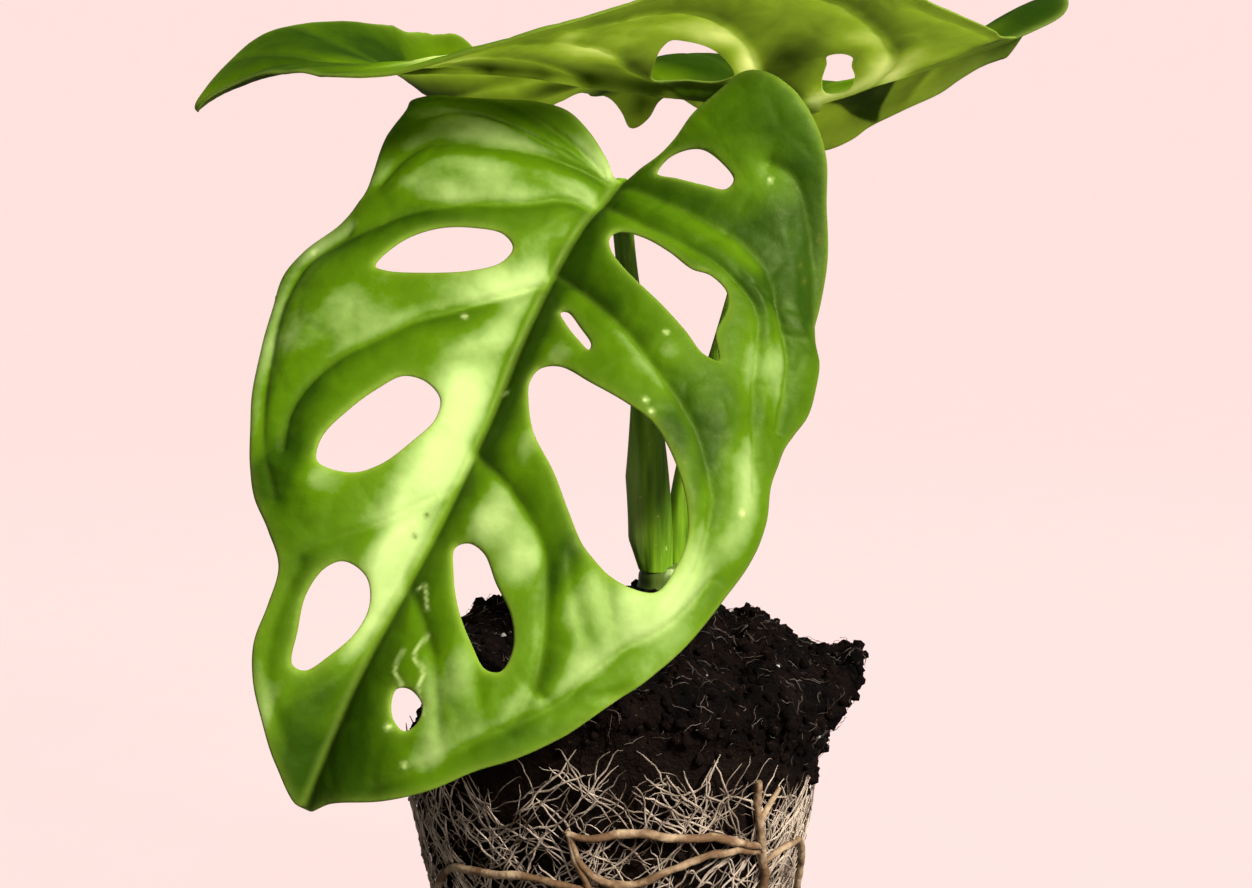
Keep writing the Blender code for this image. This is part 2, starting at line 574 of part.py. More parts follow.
def make_stalk(name, stations, mat, swell=None):
    """A leaf stalk that tapers along a smooth curve."""
    rows = [(*centre, radius) for centre, radius in stations]
    smooth = spline(rows, STALK_STEP)
    rings = path_rings(smooth[:, :3], smooth[:, 3], STALK_SIDES, swell)
    points, faces = tube(smooth[:, :3], rings, STALK_SIDES)
    return make_object(name, points, faces, mat)


def build():
    clear_scene()
    leaf_green = material("leaf_green", (0.13, 0.33, 0.02), 0.35)
    stalk_green = material("stalk_green", (0.06, 0.14, 0.01), 0.45)
    soil_brown = material("soil_brown", (0.012, 0.007, 0.004), 0.95)
    root_grey = material("root_grey", (0.27, 0.21, 0.16), 0.8)
    root_tan = material("root_tan", (0.36, 0.23, 0.13), 0.7)
    make_soil(soil_brown)
    make_root_net(root_grey)
    make_thick_roots(root_tan)
    make_stem(stalk_green)
    make_stalk("front_stalk", FRONT_STALK, stalk_green, sheath_swell)
    make_stalk("back_stalk", BACK_STALK, stalk_green)
    front, back = LeafShape(**FRONT_LEAF), LeafShape(**BACK_LEAF)
    make_blade("front_blade", front, FRONT_EDGE, FRONT_HOLES, FRONT_LENGTH, leaf_green)
    make_blade("back_blade", back, BACK_EDGE, BACK_HOLES, BACK_LENGTH, leaf_green)


build()
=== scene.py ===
# %% [markdown]
# # A young monstera adansonii on its bare root ball
#
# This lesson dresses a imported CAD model: two glossy leaves with holes, their stalks, a short
# stem, and the plug of soil with its mat of roots. The CAD solids carry weight and collision.
# The finished pieces made here lie over them and stand for them.

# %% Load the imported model
import math

import bmesh
import bpy
import numpy as np
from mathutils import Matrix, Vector, kdtree, noise
from mathutils.geometry import delaunay_2d_cdt


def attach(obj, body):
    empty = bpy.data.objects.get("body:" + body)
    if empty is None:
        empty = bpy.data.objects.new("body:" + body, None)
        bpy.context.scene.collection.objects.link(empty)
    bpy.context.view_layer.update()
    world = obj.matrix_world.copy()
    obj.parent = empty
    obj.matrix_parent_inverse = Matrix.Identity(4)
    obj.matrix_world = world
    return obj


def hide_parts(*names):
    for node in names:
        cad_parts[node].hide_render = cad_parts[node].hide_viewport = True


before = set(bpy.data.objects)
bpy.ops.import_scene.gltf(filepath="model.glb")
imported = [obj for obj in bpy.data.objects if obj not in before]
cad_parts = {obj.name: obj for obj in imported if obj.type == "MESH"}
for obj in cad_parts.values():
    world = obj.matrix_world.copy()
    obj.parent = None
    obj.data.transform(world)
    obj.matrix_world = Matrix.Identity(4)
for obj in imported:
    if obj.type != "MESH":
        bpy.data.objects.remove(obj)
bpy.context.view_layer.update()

MM = 0.001

# %% [markdown]
# ## The camera
#
# The plant is seen from about 25 cm away and from slightly above, as one would look at it on a
# table. A camera could be aimed with a Track To constraint, but plain numbers are easier to
# check: it stands in front of the plant and is tipped 6 degrees down from level.


# %% Camera
def place_in_scene(name, data):
    """A new object in the scene that carries the given data."""
    made = bpy.data.objects.new(name, data)
    bpy.context.scene.collection.objects.link(made)
    return made


CAMERA_PLACE = (0.0021, -0.2543, 0.1161)
CAMERA_TIP = 84.0
CAMERA_LENS = 48.71
SENSOR_WIDTH = 36.0

camera = place_in_scene("camera", bpy.data.cameras.new("camera"))
camera.location = CAMERA_PLACE
camera.rotation_euler = (math.radians(CAMERA_TIP), 0.0, 0.0)
camera.data.sensor_width = SENSOR_WIDTH
camera.data.lens = CAMERA_LENS
camera.data.clip_start = 0.01
camera.data.clip_end = 20.0
bpy.context.scene.camera = camera
print("camera at", CAMERA_PLACE)

# %% [markdown]
# ## Light
#
# Leaves look glossy and quilted only when light grazes them. One soft lamp stands in front and to
# the right, so each sunken vein shows a bright bank and a dark bank. A second lamp, above and a
# little behind, shines through the thin back leaf. A weak third one below stands for the light
# that a pale floor throws back. A lamp below or behind would also draw highlights that the real
# leaves don't have, so those two are hidden from gloss. The world gives a weak even fill.


# %% Lamps and fill
def soft_lamp(name, towards, size, power, colour, in_gloss):
    """A round lamp that looks at the plant from the given direction."""
    lamp = bpy.data.lights.new(name, "AREA")
    lamp.shape = "DISK"
    lamp.size = size
    lamp.energy = power
    lamp.color = colour
    holder = place_in_scene(name, lamp)
    direction = Vector(towards).normalized()
    holder.location = Vector(PLANT_MIDDLE) + direction * LAMP_DISTANCE
    holder.rotation_euler = direction.to_track_quat("Z", "Y").to_euler()
    holder.visible_glossy = in_gloss


PLANT_MIDDLE = (0.0, 0.0, 0.09)
LAMP_DISTANCE = 0.95
FILL_COLOUR = (1.0, 0.97, 0.95, 1.0)
FILL_STRENGTH = 0.17

soft_lamp("key_light", (0.6, -0.58, 0.55), 0.25, 22.0, (1.0, 0.98, 0.94), True)
soft_lamp("through_light", (0.05, 0.35, 0.94), 0.5, 19.0, (1.0, 1.0, 0.96), False)
soft_lamp("floor_bounce", (0.0, -0.6, -0.12), 0.8, 4.0, (1.0, 0.95, 0.92), False)

world = bpy.data.worlds.new("studio")
world.use_nodes = True
world.node_tree.nodes["Background"].inputs["Color"].default_value = FILL_COLOUR
world.node_tree.nodes["Background"].inputs["Strength"].default_value = FILL_STRENGTH
bpy.context.scene.world = world
bpy.context.scene.view_settings.view_transform = "Standard"
print("3 lamps and an even fill")

# %% [markdown]
# ## Small tools for node trees
#
# Materials and Geometry Nodes are both node trees. One short function adds a node, fills its
# inputs with numbers or with other nodes' outputs, and returns it, so a tree reads like a recipe.


# %% Node tools
def add(tree, kind, fill=None, **settings):
    """Add a node, set its properties, and fill its inputs with values or with sockets."""
    made = tree.nodes.new(kind)
    for name, value in settings.items():
        setattr(made, name, value)
    for key, value in (fill or {}).items():
        if isinstance(value, bpy.types.NodeSocket):
            tree.links.new(value, made.inputs[key])
        else:
            made.inputs[key].default_value = value
    return made


def sum_up(tree, operation, first, second=0.0, clamp=False):
    """One step of arithmetic between sockets or numbers."""
    step = add(tree, "ShaderNodeMath", {0: first, 1: second}, operation=operation)
    step.use_clamp = clamp
    return step.outputs[0]


def move(tree, operation, first, second=(0.0, 0.0, 0.0)):
    """One step of arithmetic between vectors, or with SCALE between a vector and a number."""
    key = "Scale" if operation == "SCALE" else 1
    step = add(tree, "ShaderNodeVectorMath", {0: first, key: second}, operation=operation)
    return step.outputs[0]


def blend_colours(tree, amount, first, second):
    """A colour between two colours."""
    step = add(tree, "ShaderNodeMix", {0: amount}, data_type="RGBA")
    for key, value in ((6, first), (7, second)):
        if isinstance(value, bpy.types.NodeSocket):
            tree.links.new(value, step.inputs[key])
        else:
            step.inputs[key].default_value = (*value, 1.0)
    return step.outputs[2]


def spread(tree, value, low, high, new_low=0.0, new_high=1.0):
    """Stretch a range of values to another range, with the ends held."""
    fill = {0: value, 1: low, 2: high, 3: new_low, 4: new_high}
    return add(tree, "ShaderNodeMapRange", fill).outputs[0]


def painted(tree, name):
    """A value that is stored on the mesh under a name."""
    return add(tree, "ShaderNodeAttribute", attribute_name=name).outputs["Fac"]


def mottle(tree, size, detail=2.0, roughness=0.5):
    """Cloudy noise fixed to the piece, with blotches about `size` metres across."""
    place = add(tree, "ShaderNodeTexCoord").outputs["Object"]
    fill = {"Vector": place, "Scale": 1.0 / size, "Detail": detail, "Roughness": roughness}
    return add(tree, "ShaderNodeTexNoise", fill).outputs["Fac"]


def new_material(name):
    """An empty procedural material: its tree and its main shader."""
    made = bpy.data.materials.new(name)
    made.use_nodes = True
    return made, made.node_tree, made.node_tree.nodes["Principled BSDF"]


def roughen(tree, shader, height, depth):
    """Let a height pattern tilt the surface, with `depth` in metres."""
    fill = {"Height": height, "Distance": depth, "Strength": 1.0}
    bump = add(tree, "ShaderNodeBump", fill)
    tree.links.new(bump.outputs["Normal"], shader.inputs["Normal"])


print("node tools ready")

# %% [markdown]
# ## The studio sweep
#
# A photographer's sweep is one sheet that is floor and wall at once, so no line shows behind the
# plant. Here it is a shallow bowl, made by turning a profile round the upright axis. It glows a
# little, which keeps its pale tone even, and is hidden from the leaves' reflections.


# %% Sweep
def ring_faces(rings, sides):
    """Four-sided faces between rings of points, each ring joined to the next."""
    faces = []
    for ring in range(rings - 1):
        low, high = ring * sides, (ring + 1) * sides
        for k in range(sides):
            j = (k + 1) % sides
            faces.append((low + k, low + j, high + j, high + k))
    return faces


SWEEP_PROFILE = [(0.0, 0.0), (0.9, 0.0), (1.15, 0.06), (1.32, 0.22), (1.4, 0.5), (1.4, 2.4)]
SWEEP_SIDES = 96
SWEEP_PINKS = ((1.0, 0.745, 0.71), (1.0, 0.765, 0.735))
SWEEP_GLOW = 0.985

turns = [2 * math.pi * k / SWEEP_SIDES for k in range(SWEEP_SIDES)]
points = [(r * math.cos(t), r * math.sin(t), z) for r, z in SWEEP_PROFILE for t in turns]
faces = ring_faces(len(SWEEP_PROFILE), SWEEP_SIDES)
sweep_mesh = bpy.data.meshes.new("studio_sweep")
sweep_mesh.from_pydata(points, [], faces)
sweep_mesh.shade_smooth()
sweep = place_in_scene("studio_sweep", sweep_mesh)
paper, tree, shader = new_material("sweep_paper")
pink = blend_colours(tree, mottle(tree, 0.02, 3.0), *SWEEP_PINKS)
tree.links.new(pink, shader.inputs["Emission Color"])
shader.inputs["Base Color"].default_value = (0.03, 0.02, 0.02, 1.0)
shader.inputs["Emission Strength"].default_value = SWEEP_GLOW
shader.inputs["Roughness"].default_value = 1.0
shader.inputs["Specular IOR Level"].default_value = 0.0
sweep_mesh.materials.append(paper)
sweep.visible_diffuse = False
sweep.visible_glossy = False
print("sweep with", len(faces), "faces")

# %% [markdown]
# ## Curves and the curved sheet of a leaf
#
# A leaf blade is a flat pattern laid on a curved sheet. The sheet follows the midrib. Each half
# leaves the midrib at a fold angle and then arches over by so many degrees a millimetre. The
# pattern is measured on the flat leaf: u runs from the stalk to the tip, v across. A lattice or a
# sculpted plane could bend a leaf too, but then its measures couldn't be read from the script.


# %% Curve tools
def lerp_table(table, at):
    """Value of a short table of (place, value) pairs, at one place or many."""
    places, values = zip(*table)
    return np.interp(at, places, values)


def unit(vectors):
    """The same vectors at length one."""
    return vectors / np.linalg.norm(vectors, axis=-1, keepdims=True)


def spline(route, step, closed=False):
    """Centripetal Catmull-Rom curve through the points, sampled about `step` apart."""
    pts = np.array(route, float)
    if closed:
        pts = np.vstack([pts[-1], pts, pts[0], pts[1]])
    else:
        pts = np.vstack([2 * pts[0] - pts[1], pts, 2 * pts[-1] - pts[-2]])
    out = []
    for i in range(1, len(pts) - 2):
        p0, p1, p2, p3 = pts[i - 1:i + 3]
        k1 = np.linalg.norm(p1 - p0) ** 0.5
        k2 = k1 + np.linalg.norm(p2 - p1) ** 0.5
        k3 = k2 + np.linalg.norm(p3 - p2) ** 0.5
        samples = max(1, round(np.linalg.norm(p2 - p1) / step))
        for t in np.linspace(k1, k2, samples, endpoint=False):
            a1 = ((k1 - t) * p0 + t * p1) / k1
            a2 = ((k2 - t) * p1 + (t - k1) * p2) / (k2 - k1)
            a3 = ((k3 - t) * p2 + (t - k2) * p3) / (k3 - k2)
            b1 = ((k2 - t) * a1 + t * a2) / k2
            b2 = ((k3 - t) * a2 + (t - k1) * a3) / (k3 - k1)
            out.append(((k2 - t) * b1 + (t - k1) * b2) / (k2 - k1))
    if not closed:
        out.append(pts[-2])
    return np.array(out)


class LeafSheet:
    """The curved sheet that a blade lies in."""

    def __init__(self, midrib, across, left_fold, left_arch, right_fold, right_arch,
                 ease=0.0):
        self.curve = spline(midrib, 0.4)
        steps = np.linalg.norm(np.diff(self.curve, axis=0), axis=1)
        along = np.concatenate([[0.0], np.cumsum(steps)])
        stalk = np.argmin(np.linalg.norm(self.curve - np.array(midrib[1]), axis=1))
        self.along = along - along[stalk]
        self.across = np.array(across)
        self.left = (left_fold, left_arch)
        self.right = (right_fold, right_arch)
        self.shifts = ease * np.linspace(-1.0, 1.0, 5)    # ease in millimetres each way

    def middle(self, u):
        """Points on the midrib, u millimetres from the stalk."""
        return np.stack([np.interp(u, self.along, self.curve[:, k]) for k in range(3)], -1)

    def eased(self, rows, u):
        """Table value at u, averaged over a short stretch so that no crease is left."""
        return sum(lerp_table(rows, u + shift) for shift in self.shifts) / len(self.shifts)

    def point(self, u, v):
        """Points u along the midrib and v across, measured on the blade."""
        reach = 1.5 + 0.08 * np.abs(v)
        ahead = unit(self.middle(u + reach) - self.middle(u - reach))
        side = unit(self.across - (ahead @ self.across)[..., None] * ahead)
        up = np.cross(ahead, side)
        left, right = self.left, self.right
        fold = np.where(v < 0, self.eased(left[0], u), self.eased(right[0], u))
        arch = np.where(v < 0, self.eased(left[1], u), self.eased(right[1], u))
        fold = np.radians(fold)
        bend = np.radians(np.where(np.abs(arch) < 0.01, 0.01, arch))
        s = np.abs(v)
        out = (np.sin(fold) - np.sin(fold - bend * s)) / bend
        rise = (np.cos(fold - bend * s) - np.cos(fold)) / bend
        return self.middle(u) + (np.sign(v) * out)[..., None] * side + rise[..., None] * up

    def normal(self, u, v):
        """Direction out of the blade's upper face."""
        step = 0.6
        along = self.point(u + step, v) - self.point(u - step, v)
        across = self.point(u, v + step) - self.point(u, v - step)
        return unit(np.cross(along, across))


print("curve tools ready")

# %% [markdown]
# ## The two leaves on paper
#
# Each leaf is the midrib in space, how each half folds and arches, the outline, and the holes.
# They are the CAD source's millimetres, apart from the back leaf's tip: its far half folds lower
# here and is a little wider. An outline could be traced as a curve object, but a plain list can
# be shared by the source and the scene.

# %% Front leaf pattern
FRONT_SHEET = LeafSheet(
    midrib=[(8.0, 6.5, 151.5), (0.9, 2.0, 129.2), (-4.6, -4.4, 122.0), (-11.2, -13.2, 109.2),
            (-17.4, -23.9, 93.8), (-24.0, -33.2, 79.6), (-32.1, -40.5, 64.4),
            (-38.9, -45.3, 48.1), (-43.5, -49.0, 36.0)],
    across=(0.89, -0.20, -0.41),
    left_fold=[(0, 25)], left_arch=[(0, 1.67)],
    right_fold=[(0, 30)], right_arch=[(0, 1.67)])
FRONT_EDGE = [
    (-0.4, 0), (-2.4, -3), (-5.3, -6.8), (-7.4, -10.8), (-7.5, -15.5), (-6.4, -21.5), (-5.2, -28),
    (-4.3, -34), (-1.5, -37.3), (4, -37.2), (10, -35.6), (15.5, -33.2), (20, -32.3), (24, -33.8),
    (28, -38.2), (31.5, -40), (37, -38.8), (44.5, -36.9), (53, -34), (60, -30.5), (66.5, -27),
    (71, -23.8), (74.5, -19.4), (78, -15.7), (82.5, -14.5), (87, -13.9), (91, -12), (95, -9),
    (99.5, -5.2), (103.6, 0), (101.5, 4), (98.5, 11), (95, 16.2), (91, 20.2), (87, 24.8),
    (82, 28.6), (75.5, 32.1), (70, 35.6), (64.5, 38.8), (58, 41.3), (51.5, 43.2), (45, 43.7),
    (40.5, 42.6), (36, 42.8), (30, 44), (24.5, 45), (19, 44.3), (13, 42.8), (6, 40), (0.5, 36.2),
    (-4.5, 32.4), (-10.5, 29.9), (-15, 26.6), (-18.4, 22.5), (-19.9, 18), (-19.2, 14.8),
    (-15.5, 11.8), (-11.5, 8.9), (-7.4, 7.2), (-4.6, 5.4), (-2.6, 3.2)]
FRONT_HOLES = [
    [(30, -23.6), (25.5, -21.8), (22, -18), (19.8, -13), (18.9, -9), (20.2, -6.8), (23, -7.3),
     (26.5, -11), (29, -16), (30.4, -21.5)],
    [(62, -18.5), (58.5, -19.4), (53, -17.6), (48.5, -15.3), (45.4, -13), (45, -10),
     (46.5, -7.2), (49.7, -6.6), (54, -8), (59, -10.3), (61.8, -13), (62.6, -16.5)],
    [(87.5, -8.2), (87.6, -6.4), (84.8, -4.4), (80.8, -2.7), (77, -2.8), (74, -5), (73.6, -8.6),
     (75.6, -10.3), (79.5, -10.7), (83.8, -9.4)],
    [(-1.8, 6.2), (-4.1, 7), (-6, 9.5), (-6.6, 12), (-5.5, 15.2), (-3.6, 17.8), (-2.2, 17.2),
     (-1.8, 14), (-1.7, 9.5)],
    [(12.6, 5.9), (11, 6.8), (10.7, 10.5), (11.8, 15.2), (13.3, 19.4), (12.6, 22), (13.8, 25),
     (17, 26.3), (22.5, 26.4), (26.5, 28.2), (26.8, 26), (24.3, 22.3), (21.6, 17.8), (18, 11.2),
     (15, 7.3)],
    [(27, 4.2), (26.8, 5.2), (29.2, 8.2), (31.9, 10.8), (32.9, 10.8), (31.6, 8.9), (29, 5.9)],
    [(39.3, 3.9), (37.2, 4.6), (36.5, 7.5), (38.2, 12.8), (39.7, 18.4), (41, 22.4), (44.5, 27),
     (48.7, 30.7), (53, 32.8), (57.5, 32.8), (61, 31.7), (62.2, 28.5), (61.9, 24.8),
     (60, 20.3), (56.5, 16.6), (52, 12.6), (47, 7.6), (42.5, 5)],
    [(65.6, 4.1), (64.6, 5.6), (65.3, 8.6), (68.2, 12), (71, 15.8), (74.4, 18), (77.6, 18),
     (78.2, 16.2), (76, 12.8), (72.5, 8.8), (69, 6)],
    [(87.2, 6.8), (85.3, 6.5), (84.6, 8.2), (85.8, 10.7), (88.2, 11.1), (89.6, 10), (88.8, 8)]]
print("front leaf:", len(FRONT_EDGE), "edge points and", len(FRONT_HOLES), "holes")

# %% Back leaf pattern
BACK_SHEET = LeafSheet(
    midrib=[(82.0, 25.5, 156.5), (31.7, 20.0, 143.2), (14.6, 19.0, 144.3), (0.0, 18.0, 145.6),
            (-18.0, 16.5, 147.5), (-33.5, 14.8, 147.4), (-50.0, 13.6, 147.2),
            (-59.5, 12.6, 144.3), (-64.3, 11.8, 141.6), (-68.0, 11.4, 138.0)],
    across=(0.0, -0.985, 0.17),
    left_fold=[(-50, 60), (-42, 56), (-36, 46), (-30, 37), (-22, 33), (-9, 30), (-4, 35),
               (2, 53), (8, 65), (20, 65), (25, 54), (31, 28), (36, 10), (43, -37.3), (48, -25),
               (53, -22.2), (58, -28.3), (62, -22.6), (66, -0.5), (72, 22.4), (78, 32.8),
               (88, 37.9), (97, 30.8)],
    left_arch=[(-50, 3), (-42, 2.7), (-36, 2.3), (-30, 1.9), (-9, 1.9), (-4, 2.3), (2, 3.2),
               (8, 3.75), (20, 3.75), (25, 3.1), (31, 1.7), (36, 0.6), (43, 0.2), (48, -1.5),
               (54, -2.6), (64, -2.2), (74, -0.5), (97, 0.2)],
    right_fold=[(-40, -6), (-28, -2), (-18, 6), (-8, 13), (10, 14), (20, 10), (30, 5), (40, -1),
                (50, -8), (60, -14), (70, -22), (97, -24)],
    right_arch=[(-40, 0.5), (-18, 0.4), (0, 0.2)],
    ease=4.0)
BACK_EDGE = [
    (0.5, 0), (-4, 0.5), (-11, 0.5), (-20, 0.6), (-28, 1.2), (-32, 3.2), (-32.6, 6), (-30.4, 9),
    (-27, 15), (-24.3, 20), (-18, 26.6), (-12.2, 31), (-5.5, 36.6), (3, 39.8), (13, 40.8),
    (25, 39.5), (36, 36.5), (47, 33.7), (56, 29.4), (65, 22.9), (74, 14.7), (82, 9.3), (90, 3.9),
    (99, 0), (96, -3.5), (91, -11.4), (86, -16.9), (81, -18.9), (76, -21.9), (71, -26.4),
    (66, -32.5), (61, -39.5), (56, -40.9), (51, -38.5), (46, -35.6), (42, -33.6), (39.4, -29.6),
    (39.6, -27.5), (43.2, -20), (44, -13), (41.2, -9.6), (37.4, -9.6), (35.2, -14), (33.9, -19.2),
    (30.7, -25.1), (28.2, -30.5), (26.5, -34.1), (25.4, -34.2), (23.5, -32.4), (22.3, -29.4),
    (20.9, -28.3), (19, -28.7), (15.8, -30.6), (11.8, -31.9), (4.3, -32.9), (-3, -32.8),
    (-8, -34.7), (-13, -34.4), (-16.3, -33), (-23.2, -32.7), (-30.5, -34), (-34.4, -33.5),
    (-38.4, -33.5), (-42.3, -34), (-43.5, -34), (-47.5, -27), (-48.8, -18), (-47.6, -9),
    (-44.4, -3.8), (-38, -1.8), (-29, -1), (-20, -0.6), (-11, -0.5), (-4, -0.5)]
BACK_HOLES = [
    [(26, 4.2), (26.1, 9), (25.6, 14), (24.4, 16.7), (22, 16.1), (19.9, 15.1), (17.7, 13.3),
     (15.3, 10.1), (13.4, 5.6), (15.5, 3.4), (20, 3.2), (24.6, 3.4)],
    [(-1, 9.7), (-0.7, 12), (-2.7, 12.5), (-4.9, 11), (-5.3, 8), (-6.2, 4.6), (-5.4, 2.3),
     (-1.8, 2.1), (-0.9, 5)],
    [(10, -11), (5, -11.2), (1, -14), (0, -19.5), (2, -25), (7, -24.5), (11, -17)]]
print("back leaf:", len(BACK_EDGE), "edge points and", len(BACK_HOLES), "holes")

# %% [markdown]
# ## Veins
#
# Side veins leave the midrib, sweep towards the tip and join a vein inside the margin. Each is a
# route on the flat pattern with its strength at both ends. Near a vein the blade sinks, so the
# panels between veins stand up like pillows.

# %% Vein routes
FRONT_VEINS = [
    (1.0, 0.8, [(-0.4, 0), (25, 0), (50, 0), (75, 0), (103.6, 0)]),
    (0.9, 0.3, [(0.5, -2.0), (-0.1, -3.6), (-2.6, -10.5), (-5.1, -17.3), (-6, -24), (-3.4, -31)]),
    (0.5, 0.4, [(0.8, -1.5), (1, -6), (2.2, -14), (1.8, -20), (3.4, -26), (7, -31.5)]),
    (1.0, 0.6, [(1.2, 0), (2.3, -5.1), (8.1, -18.1), (9.2, -22.6), (10.9, -27.2), (13.9, -29.5),
                (17, -30.1)]),
    (0.6, 0.2, [(6, 0), (8.8, -8.1), (11.2, -14.8), (12.3, -19.1), (15, -24)]),
    (1.0, 0.7, [(7, 0), (8.6, -3.4), (13.3, -9.1), (17.3, -17.2), (19.8, -22), (23, -26.3),
                (25.6, -29.7), (29.7, -35.9)]),
    (1.0, 0.9, [(22.5, 0), (24.8, -2.2), (28.5, -5.9), (32.2, -9.8), (35.7, -14.4), (39.6, -18.2),
                (43.4, -21.7), (47.3, -24.2), (52.4, -25.8), (56.9, -25.7), (61.9, -24.1)]),
    (0.5, 0.2, [(33, 0), (34.5, -1.8), (36.8, -4.5), (40, -8.5)]),
    (0.5, 0.2, [(14, 0), (17, -3), (19.5, -5)]),
    (0.8, 0.5, [(25.6, -31), (30.5, -36), (36, -36.4), (44.4, -34.4), (54.9, -30.6),
                (63.1, -26.2), (70, -21)]),
    (0.7, 0.4, [(57, 0), (62, -3.5), (67, -7.2), (72.4, -12), (76.1, -15)]),
    (0.6, 0.3, [(79, 0), (84.4, -1.4), (88, -3.6), (92, -7)]),
    (0.5, 0.3, [(76.1, -13.5), (85, -12.2), (90.1, -10.4), (94.5, -7), (98.5, -2.9)]),
    (0.9, 0.6, [(20.2, 0), (24.3, 8.5), (28.2, 15.2), (31.8, 19.4), (35.5, 24), (38.7, 27.8),
                (43.1, 31.4), (47, 34), (55.7, 35.6), (61.8, 34.6)]),
    (0.6, 0.8, [(1.5, 0), (1.8, 5), (2.4, 10), (2.9, 16), (3, 22.4)]),
    (0.8, 0.8, [(3, 22.4), (5.4, 30.1), (14.1, 35.1), (20.2, 38.3), (31.9, 40.8)]),
    (0.7, 0.7, [(-7.3, 22), (-6.3, 26.4), (-1.9, 30.7), (1.8, 34.9), (5.1, 39)]),
    (0.7, 0.6, [(5.5, 0), (8, 8), (9, 16), (10, 24), (14, 30), (20, 32.5), (28, 34.5),
                (36, 37), (43, 40)]),
    (0.9, 0.7, [(51.5, 0.3), (56.8, 9), (61.6, 15), (66.9, 18.6), (72.3, 21.2), (77.8, 22.7),
                (84, 22)]),
    (0.6, 0.5, [(77.6, 23.1), (78.7, 26.4), (75.6, 28.9), (73, 33)]),
    (0.9, 0.6, [(56, 38.5), (61.6, 36.4), (65.1, 34.1), (68.1, 31.2), (72.3, 28.6), (77.5, 26.5),
                (82.6, 23), (87.5, 18.8), (92.3, 14.7), (97, 9)]),
    (0.6, 0.4, [(72, 0), (75.6, 5), (80.8, 10.1), (85.2, 12.7), (90, 15.5)]),
    (0.4, 0.3, [(76, 13), (81.1, 16.7), (85.4, 19.5)]),
    (0.5, 0.4, [(62, 19), (66.4, 22), (69.5, 25.5), (71.5, 28.5)]),
    (0.45, 0.4, [(62.4, 24.4), (66.1, 27.1), (69, 30.2)])]
BACK_VEINS = [
    (1.0, 0.7, [(0.5, 0), (25, 0), (50, 0), (75, 0), (99, 0)]),
    (1.0, 0.5, [(3, 0), (9.3, 2.8), (9.6, 7.5), (12.1, 15.2), (16.8, 22.7), (21.6, 28.1),
                (26.3, 30.9), (30.7, 31.5), (38, 30)]),
    (1.0, 0.5, [(0.5, 0), (-9, 3), (-11.3, 8), (-11.3, 11.5), (-7.9, 19.4), (-2.4, 27.3),
                (2.6, 31.5), (12, 35), (22, 35.5)]),
    (0.7, 0.4, [(0.5, 0), (-14, 3), (-24, 8), (-26, 14), (-21, 21), (-12, 28)]),
    (0.8, 0.5, [(20, 0), (29, 6), (33.5, 14), (40, 21), (47, 26)]),
    (0.8, 0.4, [(36, 0), (44, 8), (52, 14), (60, 19)]),
    (0.7, 0.4, [(52, 0), (60, 6), (68, 11), (76, 12)]),
    (0.6, 0.4, [(66, 0), (74, 4.5), (82, 7.5)]),
    (0.8, 0.4, [(8, 0), (14, -6), (20, -14), (24, -24), (24, -32)]),
    (0.8, 0.4, [(0.5, 0), (-6, -7), (-6, -16), (-4, -26), (0, -33)]),
    (0.7, 0.4, [(0.5, 0), (-18, -6), (-26, -12), (-28, -20), (-24, -29)]),
    (0.8, 0.4, [(24, 0), (30, -5), (42, -6), (50, -14), (52, -24), (50, -30)]),
    (0.7, 0.4, [(42, 0), (54, -8), (62, -16), (65, -24)]),
    (0.7, 0.4, [(60, 0), (70, -6), (78, -12), (82, -17)]),
    (0.6, 0.3, [(76, 0), (84, -5), (90, -9)])]
print("veins:", len(FRONT_VEINS), "in front,", len(BACK_VEINS), "behind")

# %% [markdown]
# ## A blade from its pattern
#
# A blade could be a subdivided plane with holes cut by Booleans, but that frays at the rims. A
# Delaunay triangulation fills the outline around the holes exactly, with rows of points that hug
# every rim. The same triangles make the upper and the under face.


# %% Fill the outline with small triangles
def inside(loop, places):
    """Which flat points lie inside a closed loop."""
    x, y = places[:, 0], places[:, 1]
    result = np.zeros(len(places), bool)
    for (x0, y0), (x1, y1) in zip(loop, np.roll(loop, -1, axis=0)):
        crosses = (y0 > y) != (y1 > y)
        if crosses.any():
            result ^= crosses & (x < (x1 - x0) * (y - y0) / ((y1 - y0) or 1e-9) + x0)
    return result


def search_tree(spots):
    """A quick way to find the flat spots nearest to a place."""
    tree = kdtree.KDTree(len(spots))
    for number, (x, y) in enumerate(spots):
        tree.insert((x, y, 0.0), number)
    tree.balance()
    return tree


def nearest(samples, places):
    """Distance to the nearest sample and its number, for each flat point."""
    tree = search_tree(samples)
    found = [tree.find((x, y, 0.0)) for x, y in places]
    return np.array([f[2] for f in found]), np.array([f[1] for f in found])


def inset(loop, distance):
    """A loop's points moved sideways by a distance, to either side by its sign."""
    ahead = np.roll(loop, -1, axis=0) - np.roll(loop, 1, axis=0)
    side = unit(np.stack([-ahead[:, 1], ahead[:, 0]], 1))
    return loop + side * distance


